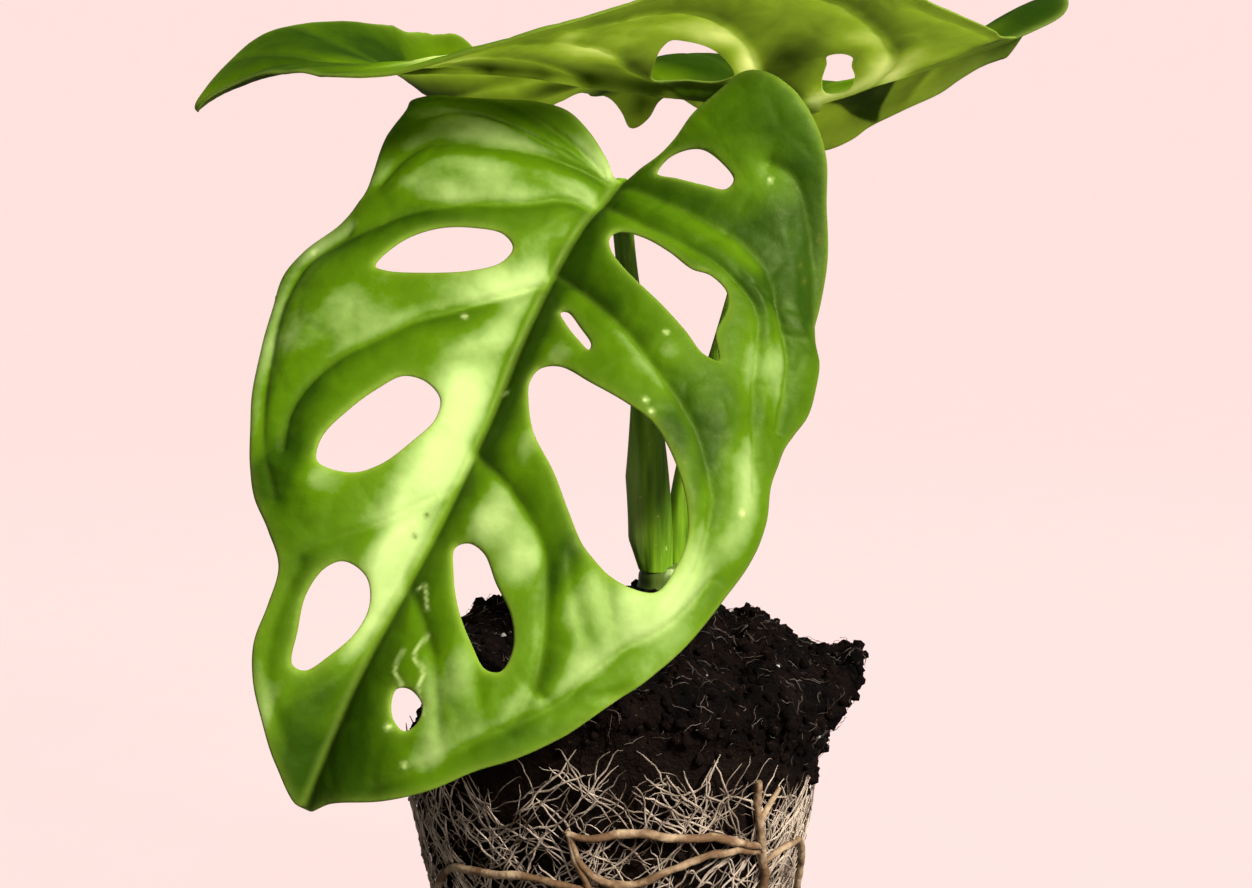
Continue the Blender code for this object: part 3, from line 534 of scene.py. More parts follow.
def fine_pattern(edge, holes, grain):
    """Flat points, triangles and rim distances of a blade, with points `grain` apart."""
    loops = [spline(edge, 0.5, closed=True)]
    loops += [spline(hole, 0.45, closed=True) for hole in holes]
    low, high = loops[0].min(axis=0), loops[0].max(axis=0)
    columns = np.arange(low[0], high[0], grain)
    rows = np.arange(low[1], high[1], grain * math.sqrt(0.75))
    field = [np.stack([columns + grain / 2 * (k % 2), np.full_like(columns, v)], 1)
             for k, v in enumerate(rows)]
    ring = np.vstack([inset(loop, way * 0.24) for loop in loops for way in (-1, 1)])
    rim = np.vstack(loops)

    def on_blade(places):
        kept = inside(loops[0], places)
        for hole in loops[1:]:
            kept &= ~inside(hole, places)
        return kept

    ring = ring[on_blade(ring)]
    ring = ring[nearest(rim, ring)[0] > 0.2]
    field = np.vstack(field)
    field = field[on_blade(field)]
    field = field[nearest(np.vstack([rim, ring]), field)[0] > grain * 0.55]
    places = [Vector(p) for p in np.vstack([rim, ring, field])]
    borders = []
    start = 0
    for loop in loops:
        borders += [(start + k, start + (k + 1) % len(loop)) for k in range(len(loop))]
        start += len(loop)
    flat, _, triangles, *_ = delaunay_2d_cdt(places, borders, [], 0, 1e-5)
    flat = np.array([tuple(p) for p in flat])
    triangles = np.array([tuple(t) for t in triangles])
    triangles = triangles[on_blade(flat[triangles].mean(axis=1))]
    used, order = np.unique(triangles, return_inverse=True)
    flat = flat[used]
    return flat, order.reshape(triangles.shape), nearest(rim, flat)[0]


print("pattern tools ready")

# %% [markdown]
# ## Relief of a blade
#
# The height of the blade above its sheet is a sum of three rules: it sinks at the veins, dips at
# the rims, and is lightly quilted between the finest veins. The quilting is a cell pattern from
# scattered points, like soap bubbles seen flat. A bump in the material would be shorter, but it
# would leave the silhouette and the mesh itself smooth.

# %% Vein distances and quilting
VEIN_BANK = 4.0            # how quickly a panel rises from its vein, in millimetres
VEIN_WIDTH = 0.55          # the sunken line itself
LEAN_REACH = 2.4           # how far the lit and the shaded side of a vein reach
PANEL_HEIGHT = 2.0
LINE_DEPTH = 0.25
RIM_DIP = 0.5
CELL_SIZE = 6.5
CELL_SHIFT = 0.42          # how far a cell's centre may stray, in cells
CELL_HEIGHT = 0.18


def vein_field(veins, flat):
    """How far each flat point feels the veins: their banks, their sunken lines and their sides."""
    bank, line, lean = np.zeros((3, len(flat)))
    for start, end, route in veins:
        path = spline(route, 0.3)
        away, number = nearest(path, flat)
        strength = np.linspace(start, end, len(path))[number]
        way, gap = unit(np.gradient(path, axis=0))[number], flat - path[number]
        side = (way[:, 0] * gap[:, 1] - way[:, 1] * gap[:, 0]) / (away + 0.05)
        bank = np.maximum(bank, strength * np.exp(-away / VEIN_BANK))
        line = np.maximum(line, strength * np.exp(-(away / VEIN_WIDTH) ** 2))
        # the side term says which bank of a vein gets painted light (below zero) and which painted
        # shade
        lean += side * strength * np.exp(-away / LEAN_REACH) * (1 - np.exp(-(away / 0.7) ** 2))
    return bank, line, lean


def quilting(flat, seed):
    """Cells between the finest veins: 0 at their borders, 1 in the middle."""
    dice = np.random.default_rng(seed)
    low, high = flat.min(axis=0) - 8, flat.max(axis=0) + 8
    centres = [(u + dice.uniform(-CELL_SHIFT, CELL_SHIFT) * CELL_SIZE,
                v + dice.uniform(-CELL_SHIFT, CELL_SHIFT) * CELL_SIZE)
               for u in np.arange(low[0], high[0], CELL_SIZE)
               for v in np.arange(low[1], high[1], CELL_SIZE)]
    tree = search_tree(centres)
    gaps = np.array([[f[2] for f in tree.find_n((x, y, 0.0), 2)] for x, y in flat])
    return 1.0 - np.exp(-((gaps[:, 1] - gaps[:, 0]) / 1.5) ** 2)


print("relief rules ready")

# %% [markdown]
# ## Painted light and shade
#
# The green is lightened by painted highlights and darkened by painted shade. Each patch is a soft
# spot on the flat pattern: its place, its reach along and across, and how much it lightens (or,
# below zero, darkens) the green. The back leaf also has a loop of painted shade with a soft edge,
# and each vein a painted lit side and a painted shaded side. Scars and dots are the small
# blemishes that any grown leaf has.

# %% Painted highlights and shade
# u, v, reach along, reach across and amount: above zero a painted highlight, below zero painted
# shade
FRONT_PAINTED_LIGHT_AND_SHADE = [
    (6, 33, 12, 9, -0.4), (42, 22, 40, 14, -0.07), (99, 2, 7, 7, -0.2), (70, -24, 8, 5, -0.15),
    (26, -2.5, 9, 2.5, 0.25), (46, -4, 12, 4, 0.3), (62, -4, 10, 3, 0.25),
    (80, -2.2, 7, 1.6, 0.25), (42, 26.9, 4, 3, -0.35), (36.5, 31.4, 4, 4, -0.15),
    (5.1, 33.5, 8, 5, -0.3), (45.4, 37.3, 5, 3, -0.15), (67.5, -23.3, 7, 4, -0.3),
    (100.1, -0.9, 6, 5, -0.35), (-1.5, 27.6, 8, 5, -0.25), (69.8, -2.3, 9, 3, 0.2),
    (43.4, -32.4, 6, 4, 0.25), (58.1, 29, 5, 3, -0.1), (13, 20.4, 6, 4, -0.15),
    (62.8, 18.3, 5, 3, -0.1), (72.6, 6.1, 4, 2.5, 0.3), (6, -22, 3.5, 10, 0.3),
    (12, -16, 2, 8, 0.3), (16, -21, 2.5, 8, 0.25), (26.5, -7.7, 4, 6, 0.3), (37, -24, 5, 6, 0.2),
    (42, -6, 6, 4, 0.2), (48.6, -5, 7, 4, 0.25), (59, -5.4, 6, 3.5, 0.2),
    (64.7, -16.8, 3, 3, 0.3), (70, -3.8, 7, 2.5, 0.4), (94.5, -9, 5, 2, 0.3),
    (37.5, -35, 12, 3, 0.1), (-6.2, 21.4, 5, 5, 0.15), (4.7, 26.4, 4, 3, 0.25),
    (12, 34, 4, 4, 0.3), (21.8, 34.7, 5, 4, 0.4), (25, 15.3, 4, 2, 0.15), (29, 21, 4, 2.5, 0.3),
    (34.4, 6.8, 3, 2.5, 0.3), (49.9, 7.7, 5, 2.5, 0.3), (61.4, 7.4, 4, 3, 0.45),
    (64.7, 13.5, 4, 3, 0.4), (65.9, 22.8, 4, 3, 0.4), (63.4, 28.6, 4, 3, 0.5),
    (46.8, 39, 6, 3, 0.45), (41.4, 36.7, 4, 3, 0.3), (75.7, 25.9, 4, 3, 0.3),
    (72, 29.2, 3, 3, 0.3), (81, 12.9, 5, 2.5, 0.25), (91.7, 15.7, 5, 3, 0.25),
    (59.9, 36.3, 8, 4, 0.35), (66.4, 33.4, 6, 4, 0.3), (74, -15.7, 6, 4, -0.2),
    (65.7, -24.4, 8, 4, -0.25), (52.7, -24.8, 6, 3, -0.2), (21.3, -15.9, 2.5, 9, -0.12),
    (21.2, -26.2, 4, 6, -0.12), (-5.1, -22.9, 3, 10, -0.15), (-5, -13.8, 3, 6, -0.1),
    (88.6, -2.5, 6, 3, -0.3), (99.6, 1.6, 5, 6, -0.3), (28.9, 1.7, 12, 2.5, -0.25),
    (17.4, 2.2, 10, 4, -0.3), (0.5, 9.4, 6, 8, -0.25), (-14.4, 19.5, 8, 9, -0.25),
    (0.7, 32.2, 7, 4, -0.2), (25.4, 9.9, 6, 3, -0.15), (36.2, 1.1, 10, 2.2, -0.25),
    (45, 2, 10, 2, -0.25), (38.7, 24.9, 6, 2, -0.25), (30.4, 30.6, 4, 3, -0.2),
    (41.6, 31, 6, 2, -0.25), (65.4, 18.5, 5, 1.8, -0.3), (75, 23.3, 3, 2, -0.25),
    (72.5, 5.5, 6, 3, -0.2), (91.4, 3.7, 8, 4, -0.3), (95, 9, 4, 3, -0.2),
    (48.4, 31.1, 6, 1.5, -0.2)]
# painted highlights and painted shade on the back leaf, in the same columns
BACK_PAINTED_LIGHT_AND_SHADE = [
    (18, 17.9, 4.7, 3.3, 0.35), (11.7, 10.4, 2.4, 6, 0.5), (22.9, 21.6, 5.9, 2.7, 0.2),
    (-12.5, 0.3, 3.1, 7.3, 0.5), (-13.7, 9, 4.2, 4, 0.25), (-5.5, 16.9, 4.2, 3.3, 0.15),
    (40.1, 23.9, 2.4, 2.7, 0.3), (4.8, 13.1, 4.2, 7.3, -0.25), (32.2, 7.6, 3.7, 5, -0.2),
    (-27.1, 9.2, 4.2, 2.7, -0.25), (30.6, 29.9, 4.2, 2.7, 0.1), (-8.4, -19.2, 2.7, 2.3, -0.45),
    (17, -10, 12, 14, -0.6), (30.7, -20.3, 5.1, 3.3, -0.3), (23, -29.2, 3.4, 2.7, -0.2),
    (-44, -15, 9, 22, -0.6), (-33, 0, 6, 6, -0.3), (84, 2, 16, 24, -0.35),
    (66, -14, 12, 12, -0.4), (60, 13, 8, 8, 0.5), (36, 14, 7, 8, 0.3),
    (-14.4, -34.8, 5.1, 2, 0.1), (40.1, -3.7, 4.2, 2.7, -0.3)]
# a loop of painted shade on the far half of the back leaf
BACK_PAINTED_SHADE = [[(-2, -12), (-19, -12), (-19.5, -22), (-17.8, -29.4), (-17.4, -32.1),
                (-15.2, -30.4), (-12.7, -27.7), (-8.8, -22), (-5.3, -20), (-3, -19)]]
FRONT_SCARS = [
    [(72.5, 2.1), (71.6, 2.9), (74.4, 5.2)],
    [(77.2, 7), (80.5, 7), (81.7, 9), (84.3, 9.6), (86.8, 11.6)],
    [(80.4, 5.2), (83, 5.4), (84.7, 7.3)]]
FRONT_DOTS = [(28.4, -35.9, 0.7), (33, -8.6, 0.7), (26.1, 20, 0.7), (41.3, 0.8, 0.7),
              (38.5, 20.7, 0.7), (39.8, 21.9, 0.7), (46.6, 38.7, 1), (89.9, 8, 0.7),
              (93.4, 11.9, 0.7), (-5.1, 22.9, 0.7), (66, -2.1, -1), (62.7, -2, -1),
              (1.6, 31.8, -1), (2.6, 33.6, -1), (-1.5, 32.7, -1)]


BASE_TONE = 0.4
# painted light: one side of each vein is painted paler, the other side darker
VEIN_SIDE_PAINTED_LIGHT = 0.4            # how much the two sides of a vein differ
# how much darker the green is inside a loop of painted shade
PAINTED_SHADE_DEPTH = 0.6
PAINTED_SHADE_EDGE = 0.8           # width of a shade's soft edge, in millimetres
SCAR_WIDTH, SCAR_TONE = 0.2, 0.55
DOT_WIDTH = 0.36


def tone_with_painted_light(flat, lean, painted_spots, painted_shade_loops):
    """Tone of each point, 0 deepest green to 1 palest, with painted highlights and shade."""
    tone = np.full(len(flat), BASE_TONE)
    # painted highlights where the amount is above zero, painted shade where it is below
    for u, v, along, across, amount in painted_spots:
        reach = ((flat[:, 0] - u) / along) ** 2 + ((flat[:, 1] - v) / across) ** 2
        tone += amount * np.exp(-reach)
    # loops of painted shade, with soft edges
    for loop in painted_shade_loops:
        border = spline(loop, 0.2, closed=True)
        away = nearest(border, flat)[0] * np.where(inside(border, flat), 1.0, -1.0)
        tone -= PAINTED_SHADE_DEPTH * np.clip(0.5 + away / PAINTED_SHADE_EDGE, 0.0, 1.0)
    # the painted lit and shaded sides of the veins
    return np.clip(tone - VEIN_SIDE_PAINTED_LIGHT * lean, 0.0, 1.0)


def marks_of(flat, scars, dots):
    """Small blemishes: above 0 pale, below 0 dark."""
    marks = np.zeros(len(flat))
    for route in scars:
        away = nearest(spline(route, 0.1), flat)[0]
        marks += SCAR_TONE * np.exp(-(away / SCAR_WIDTH) ** 2)
    for u, v, amount in dots:
        away = np.hypot(flat[:, 0] - u, flat[:, 1] - v)
        marks += amount * np.exp(-(away / DOT_WIDTH) ** 2)
    return np.clip(marks, -1.0, 1.0)


print("patches:", len(FRONT_PAINTED_LIGHT_AND_SHADE), "in front,", len(BACK_PAINTED_LIGHT_AND_SHADE), "behind")

# %% [markdown]
# ## Building the blades
#
# The pattern, the relief and the sheet come together: every flat point is set on the sheet, moved
# by its relief, and doubled into an upper and an under face. A Solidify modifier could add the
# thickness, but here the rims are rounded and the midrib stands out underneath.


# %% Build a blade
def make_mesh(name, verts, faces):
    """An object from points in millimetres, with its faces turned outwards."""
    mesh = bpy.data.meshes.new(name)
    mesh.from_pydata((np.asarray(verts) * MM).tolist(), [], [tuple(f) for f in faces])
    bm = bmesh.new()
    bm.from_mesh(mesh)
    bmesh.ops.recalc_face_normals(bm, faces=bm.faces)
    bm.to_mesh(mesh)
    bm.free()
    mesh.shade_smooth()
    return place_in_scene(name, mesh)


def store(piece, name, values):
    """Keep one value for each point under a name that materials can read."""
    layer = piece.data.attributes.new(name, "FLOAT", "POINT")
    layer.data.foreach_set("value", np.asarray(values, np.float32))


GRAIN = 0.5                # distance between points of a blade, in millimetres
RIM_HALF, BODY_HALF = 0.06, 0.22
RIM_ROUND = 0.6
RIB_DEPTH, RIB_REACH = 1.1, 1.1


def make_blade(name, sheet, edge, holes, veins, length, seed, painted_spots, painted_shade_loops=(), scars=(),
               dots=(), calm=1.0):
    """A thin blade with sunken veins, soft rims and its midrib standing out underneath.

    calm scales the relief of the left half."""
    flat, triangles, rim = fine_pattern(edge, holes, GRAIN)
    u, v = flat[:, 0], flat[:, 1]
    bank, line, lean = vein_field(veins, flat)
    cells = quilting(flat, seed)
    panel = 1.0 - bank
    relief = PANEL_HEIGHT * (panel - 0.6) - LINE_DEPTH * line
    relief += RIM_DIP * (1.0 - np.exp(-rim / 1.5)) - RIM_DIP
    softness = np.interp(v, [-12, 0, 12], [0.7, 0.35, 1.0])
    relief += CELL_HEIGHT * softness * (cells - 0.5) * (1.0 - np.exp(-rim / 2.0))
    relief *= np.interp(v, [-6.0, 0.0], [calm, 1.0])
    rounding = (1.0 - rim / RIM_ROUND) ** 2 * (rim < RIM_ROUND)
    half = RIM_HALF + BODY_HALF * np.clip(1.0 - rounding, 0.0, 1.0)
    taper = np.clip(1.0 - u / length, 0.15, 1.0) * (u > -1.0)
    rib = RIB_DEPTH * taper * np.exp(-(v / RIB_REACH) ** 2)
    normal = sheet.normal(u, v)
    middle = sheet.point(u, v) + normal * relief[:, None]
    top = middle + normal * half[:, None]
    under = middle - normal * (half + rib)[:, None]
    count = len(flat)
    sides = {(a, b) for t in triangles.tolist() for a, b in zip(t, t[1:] + t[:1])}
    faces = triangles.tolist() + (count + triangles[:, ::-1]).tolist()
    for a, b in sides:
        if (b, a) not in sides:
            faces.append((b, a, count + a, count + b))
    piece = make_mesh(name, np.vstack([top, under]), faces)
    # tone holds the base green with painted highlights, painted shade and painted vein sides
    on_both_faces = {"vein": line, "midrib": np.exp(-(v / VEIN_WIDTH) ** 2),
                     "rim": np.exp(-rim / 0.5), "tone": tone_with_painted_light(flat, lean, painted_spots, painted_shade_loops),
                     "marks": marks_of(flat, scars, dots)}
    for label, values in on_both_faces.items():
        store(piece, label, np.tile(values, 2))
    store(piece, "under", np.repeat([0.0, 1.0], count))
    print(name, "has", len(faces), "faces")
    return piece


front_leaf = make_blade("front_leaf", FRONT_SHEET, FRONT_EDGE, FRONT_HOLES, FRONT_VEINS, 104.0, 3,
                        FRONT_PAINTED_LIGHT_AND_SHADE, (), FRONT_SCARS, FRONT_DOTS)
back_leaf = make_blade("back_leaf", BACK_SHEET, BACK_EDGE, BACK_HOLES, BACK_VEINS, 99.0, 8,
                       BACK_PAINTED_LIGHT_AND_SHADE, BACK_PAINTED_SHADE, calm=0.25)

# %% [markdown]
# ## Leaf surface
#
# A leaf is a thin, softly glossy sheet that also lets light through. The material mixes a green
# shader with a translucent one. A painted image could carry the colours, but values stored on the
# mesh are enough: they make veins and rims paler, set the painted highlights and painted shade,
# and give the underside tones of its own.


# %% Leaf material
def three_tones(tree, tone, tones):
    """A colour from deep over middle to pale, by a tone from 0 to 1."""
    deep, middle, light = tones
    return blend_colours(tree, spread(tree, tone, 0.5, 1.0),
                         blend_colours(tree, spread(tree, tone, 0.0, 0.5), deep, middle), light)


def tinted(tree, colour, label, amount, pale):
    """A colour that turns paler where a stored value is high."""
    return blend_colours(tree, sum_up(tree, "MULTIPLY", painted(tree, label), amount), colour, pale)


PALE_SCAR, DARK_DOT = (0.62, 0.75, 0.25), (0.05, 0.07, 0.004)
LEAF_GLOSS = 0.15
LEAF_GLOSS_TINT = (0.8, 1.0, 0.35, 1.0)


def leaf_skin(name, above, below, pale, glow, thinness, mottling):
    """Leaf green: tones above and below, the veins' green, what shines through, and how much."""
    made, tree, shader = new_material(name)
    fine = mottle(tree, 0.0016, 2.0)
    clouds = spread(tree, mottle(tree, 0.006, 4.0, 0.6), 0.3, 0.7, -mottling, mottling)
    # the stored tone brings the painted highlights and painted shade; the clouds are the leaf's own
    # mottling
    tone = sum_up(tree, "ADD", painted(tree, "tone"), clouds)
    colour = three_tones(tree, tone, above)
    colour = tinted(tree, colour, "vein", 0.05, pale)
    colour = tinted(tree, colour, "midrib", 0.14, pale)
    colour = blend_colours(tree, painted(tree, "under"), colour, three_tones(tree, tone, below))
    colour = tinted(tree, colour, "rim", 0.4, pale)
    marks = painted(tree, "marks")
    colour = blend_colours(tree, spread(tree, marks, 0.0, 1.0), colour, PALE_SCAR)
    colour = blend_colours(tree, spread(tree, marks, 0.0, -1.0), colour, DARK_DOT)
    tree.links.new(colour, shader.inputs["Base Color"])
    tree.links.new(spread(tree, fine, 0.3, 0.7, 0.46, 0.6), shader.inputs["Roughness"])
    shader.inputs["Specular IOR Level"].default_value = LEAF_GLOSS
    shader.inputs["Specular Tint"].default_value = LEAF_GLOSS_TINT
    pores = sum_up(tree, "ADD", fine, mottle(tree, 0.004, 3.0))
    roughen(tree, shader, pores, 0.0001)
    through = three_tones(tree, tone, glow)
    light = add(tree, "ShaderNodeBsdfTranslucent", {"Color": through})
    thin = add(tree, "ShaderNodeMixShader",
               {0: thinness, 1: shader.outputs[0], 2: light.outputs[0]})
    tree.links.new(thin.outputs[0], tree.nodes["Material Output"].inputs["Surface"])
    return made


# each is deep, middle and pale
LEAF_TOP = ((0.016, 0.044, 0.0002), (0.066, 0.14, 0.0008), (0.36, 0.47, 0.15))
LEAF_UNDER = ((0.05, 0.11, 0.003), (0.45, 0.6, 0.1), (0.9, 0.95, 0.6))
FRONT_GLOW = ((0.024, 0.045, 0.0006), (0.11, 0.21, 0.003), (0.24, 0.42, 0.01))
BACK_GLOW = ((0.08, 0.1, 0.012), (0.46, 0.56, 0.08), (0.95, 0.97, 0.55))
front_green = leaf_skin("front_leaf_skin", LEAF_TOP, LEAF_UNDER, (0.3, 0.42, 0.05), FRONT_GLOW,
                        thinness=0.12, mottling=0.09)
back_green = leaf_skin("back_leaf_skin", LEAF_TOP, LEAF_UNDER, (0.35, 0.48, 0.07), BACK_GLOW,
                       thinness=0.5, mottling=0.06)
front_leaf.data.materials.append(front_green)
back_leaf.data.materials.append(back_green)
print("leaf skins on both leaves")

# %% [markdown]
# ## Geometry Nodes tools
#
# What follows a path, or repeats, is grown by Geometry Nodes. These helpers open a tree with
# named inputs, run it once on a guide object, and keep the result as a plain mesh.


# %% Grow tools
SOCKETS = {"float": "NodeSocketFloat", "int": "NodeSocketInt", "material": "NodeSocketMaterial",
           "geometry": "NodeSocketGeometry"}


def open_tree(name, **inputs):
    """A Geometry Nodes tree with a guide geometry and named inputs, each with its kind."""
    tree = bpy.data.node_groups.new(name, "GeometryNodeTree")
    tree.interface.new_socket("Geometry", in_out="OUTPUT", socket_type="NodeSocketGeometry")
    tree.interface.new_socket("Geometry", in_out="INPUT", socket_type="NodeSocketGeometry")
    for label, kind in inputs.items():
        tree.interface.new_socket(label, in_out="INPUT", socket_type=SOCKETS[kind])
    return tree, tree.nodes.new("NodeGroupInput").outputs


def close_tree(tree, geometry, skin):
    """End a tree: smooth shading, real geometry instead of copies, and the material."""
    smooth = add(tree, "GeometryNodeSetShadeSmooth", {"Geometry": geometry})
    real = add(tree, "GeometryNodeRealizeInstances", {"Geometry": smooth.outputs[0]})
    coated = add(tree, "GeometryNodeSetMaterial", {"Geometry": real.outputs[0], "Material": skin})
    end = tree.nodes.new("NodeGroupOutput")
    tree.links.new(coated.outputs[0], end.inputs[0])
    return tree


def grow(name, guide, tree, **values):
    """Run a tree on a guide object and keep what it makes as a plain mesh."""
    modifier = guide.modifiers.new("grow", "NODES")
    modifier.node_group = tree
    for item in tree.interface.items_tree:
        if item.in_out == "INPUT" and item.name in values:
            modifier[item.identifier] = values[item.name]
    graph = bpy.context.evaluated_depsgraph_get()
    mesh = bpy.data.meshes.new_from_object(guide.evaluated_get(graph),
                                           preserve_all_data_layers=True, depsgraph=graph)
    guide.modifiers.remove(modifier)
    mesh.name = name
    print(name, "has", len(mesh.polygons), "faces")
    return place_in_scene(name, mesh)


def guide_paths(name, routes):
    """Bare edges along routes of (x, y, z, radius), for a tree to follow."""
    points, edges, radii = [], [], []
    for route in routes:
        start = len(points)
        points += [p[:3] for p in route]
        radii += [p[3] for p in route]
        edges += [(k, k + 1) for k in range(start, len(points) - 1)]
    mesh = bpy.data.meshes.new(name)
    mesh.from_pydata((np.array(points) * MM).tolist(), edges, [])
    made = place_in_scene(name, mesh)
    store(made, "radius_mm", radii)
    return made


def discard(*guides):
    """Remove guide objects once their pieces are grown."""
    for guide in guides:
        bpy.data.objects.remove(guide, do_unlink=True)


print("grow tools ready")

# %% [markdown]
# ## Stalks
#
# A leaf stalk is a slightly channelled rod that swells where it meets the blade. A bevelled
# curve would do for a plain rod, but the front stalk also carries a thin wing, the edge of its
# sheath. The tree sweeps a circle along the path and then pushes the points on one side out.


# %% Stalk tree
def read(tree, name, kind="FLOAT"):
    """A stored value, read inside a Geometry Nodes tree."""
    return add(tree, "GeometryNodeInputNamedAttribute", {"Name": name}, data_type=kind).outputs[0]


def keep(tree, geometry, name, value, kind="FLOAT"):
    """Store a value on every point, inside a Geometry Nodes tree."""
    fill = {"Geometry": geometry, "Name": name, "Value": value}
    return add(tree, "GeometryNodeStoreNamedAttribute", fill, data_type=kind).outputs[0]


def even_path(tree, given):
    """The guide's edges as a curve with points a `Step` apart."""
    path = add(tree, "GeometryNodeMeshToCurve", {"Mesh": given["Geometry"]}).outputs[0]
    return add(tree, "GeometryNodeResampleCurve", {"Curve": path, "Length": given["Step"]},
               mode="LENGTH").outputs[0]


def tube(tree, path, ring, width):
    """A ring swept along a path, wider or narrower by its width, with closed ends."""
    return add(tree, "GeometryNodeCurveToMesh",
               {"Curve": path, "Profile Curve": ring, "Scale": width,
                "Fill Caps": True}).outputs[0]


def circle(tree, sides, radius):
    """A flat ring to sweep."""
    return add(tree, "GeometryNodeCurvePrimitiveCircle",
               {"Resolution": sides, "Radius": radius}).outputs[0]


RIDGE_COUNT = 7
WING_SLIMNESS = 15.0
WING_FADE_IN, WING_FADE_OUT = 0.006, 0.012


def stalk_tree():
    """A rod along a path, with ridges and a wing on one side."""
    tree, given = open_tree("stalk", Sides="int", Step="float", Ridges="float", Wing="float",
                            WingTurn="float", WingLow="float", WingHigh="float", Skin="material")
    place = add(tree, "GeometryNodeInputPosition").outputs[0]
    path = keep(tree, even_path(tree, given), "axis", place, "FLOAT_VECTOR")
    factor = add(tree, "GeometryNodeSplineParameter").outputs["Factor"]
    ring = keep(tree, circle(tree, given["Sides"], MM), "round", factor)
    rod = tube(tree, path, ring, read(tree, "radius_mm"))
    turn = read(tree, "round")
    height = add(tree, "ShaderNodeSeparateXYZ", {0: place}).outputs["Z"]
    off = sum_up(tree, "SUBTRACT", turn, given["WingTurn"])
    off = sum_up(tree, "SUBTRACT", off, sum_up(tree, "ROUND", off))
    off = sum_up(tree, "POWER", sum_up(tree, "MULTIPLY", off, WING_SLIMNESS), 2.0)
    ridge = sum_up(tree, "EXPONENT", sum_up(tree, "MULTIPLY", off, -1.0))
    grown = sum_up(tree, "ADD", given["WingLow"], WING_FADE_IN)
    foot = spread(tree, height, given["WingLow"], grown)
    fading = sum_up(tree, "SUBTRACT", given["WingHigh"], WING_FADE_OUT)
    head = spread(tree, height, fading, given["WingHigh"], 1.0, 0.0)
    wing = sum_up(tree, "MULTIPLY", ridge, sum_up(tree, "MULTIPLY", foot, head))
    wing = sum_up(tree, "MULTIPLY", wing, given["Wing"])
    wave = sum_up(tree, "SINE", sum_up(tree, "MULTIPLY", turn, 2 * math.pi * RIDGE_COUNT))
    grow_by = sum_up(tree, "ADD", wing, sum_up(tree, "MULTIPLY", wave, given["Ridges"]))
    out = move(tree, "SUBTRACT", place, read(tree, "axis", "FLOAT_VECTOR"))
    push = move(tree, "SCALE", move(tree, "NORMALIZE", out), grow_by)
    rod = add(tree, "GeometryNodeSetPosition", {"Geometry": rod, "Offset": push}).outputs[0]
    rod = keep(tree, rod, "wing", sum_up(tree, "DIVIDE", wing, 0.002))
    return close_tree(tree, rod, given["Skin"])


STALK_TREE = stalk_tree()
print("stalk tree has", len(STALK_TREE.nodes), "nodes")

# %% [markdown]
# ### The stalks' green
#
# Stalks are darker than the blades and faintly streaked from end to end. Noise that is squeezed
# across and stretched along gives streaks without a picture. Each path below is a list of places
# in millimetres, each with the rod's radius there.


# %% Stalk skin and the two stalks
def stalk_skin(name, deep, fresh, pale):
    """Smooth green with faint lengthwise streaks and pale specks."""
    made, tree, shader = new_material(name)
    place = add(tree, "ShaderNodeTexCoord").outputs["Object"]
    long = add(tree, "ShaderNodeMapping", {"Vector": place, "Scale": (900.0, 900.0, 70.0)})
    streak = add(tree, "ShaderNodeTexNoise",
                 {"Vector": long.outputs[0], "Scale": 1.0, "Detail": 3.0}).outputs["Fac"]
    colour = blend_colours(tree, spread(tree, streak, 0.3, 0.75), deep, fresh)
    specks = spread(tree, mottle(tree, 0.0009, 1.0), 0.72, 0.78)
    colour = blend_colours(tree, specks, colour, pale)
    colour = blend_colours(tree, sum_up(tree, "MULTIPLY", painted(tree, "wing"), 0.6, True),
                           colour, pale)
    tree.links.new(colour, shader.inputs["Base Color"])
    tree.links.new(spread(tree, streak, 0.2, 0.8, 0.35, 0.5), shader.inputs["Roughness"])
    shader.inputs["Specular Tint"].default_value = (0.8, 1.0, 0.4, 1.0)
    shader.inputs["Subsurface Weight"].default_value = 0.12
    shader.inputs["Subsurface Radius"].default_value = (0.6, 1.0, 0.2)
    shader.inputs["Subsurface Scale"].default_value = 0.0015
    roughen(tree, shader, streak, 0.00015)
    return made


FRONT_STALK = [((6.9, 8.0, 68.9), 2.5), ((6.9, 7.4, 75.5), 2.4), ((6.3, 6.7, 85.0), 2.3),
               ((5.0, 6.1, 96.0), 2.1), ((3.2, 5.6, 108.0), 1.75), ((2.1, 5.3, 117.0), 1.55),
               ((1.5, 5.1, 123.5), 1.6), ((1.3, 4.5, 126.8), 1.75), ((1.0, 3.4, 128.4), 1.5)]
BACK_STALK = [((10.3, 11.6, 68.9), 1.7), ((10.4, 11.3, 75.5), 1.85), ((11.6, 11.4, 84.0), 1.75),
              ((13.9, 12.0, 92.5), 1.65), ((17.9, 13.7, 106.0), 1.5), ((22.2, 16.1, 120.5), 1.4),
              ((27.0, 18.6, 133.5), 1.35), ((29.7, 20.0, 139.3), 1.5), ((31.0, 20.2, 142.0), 1.2)]

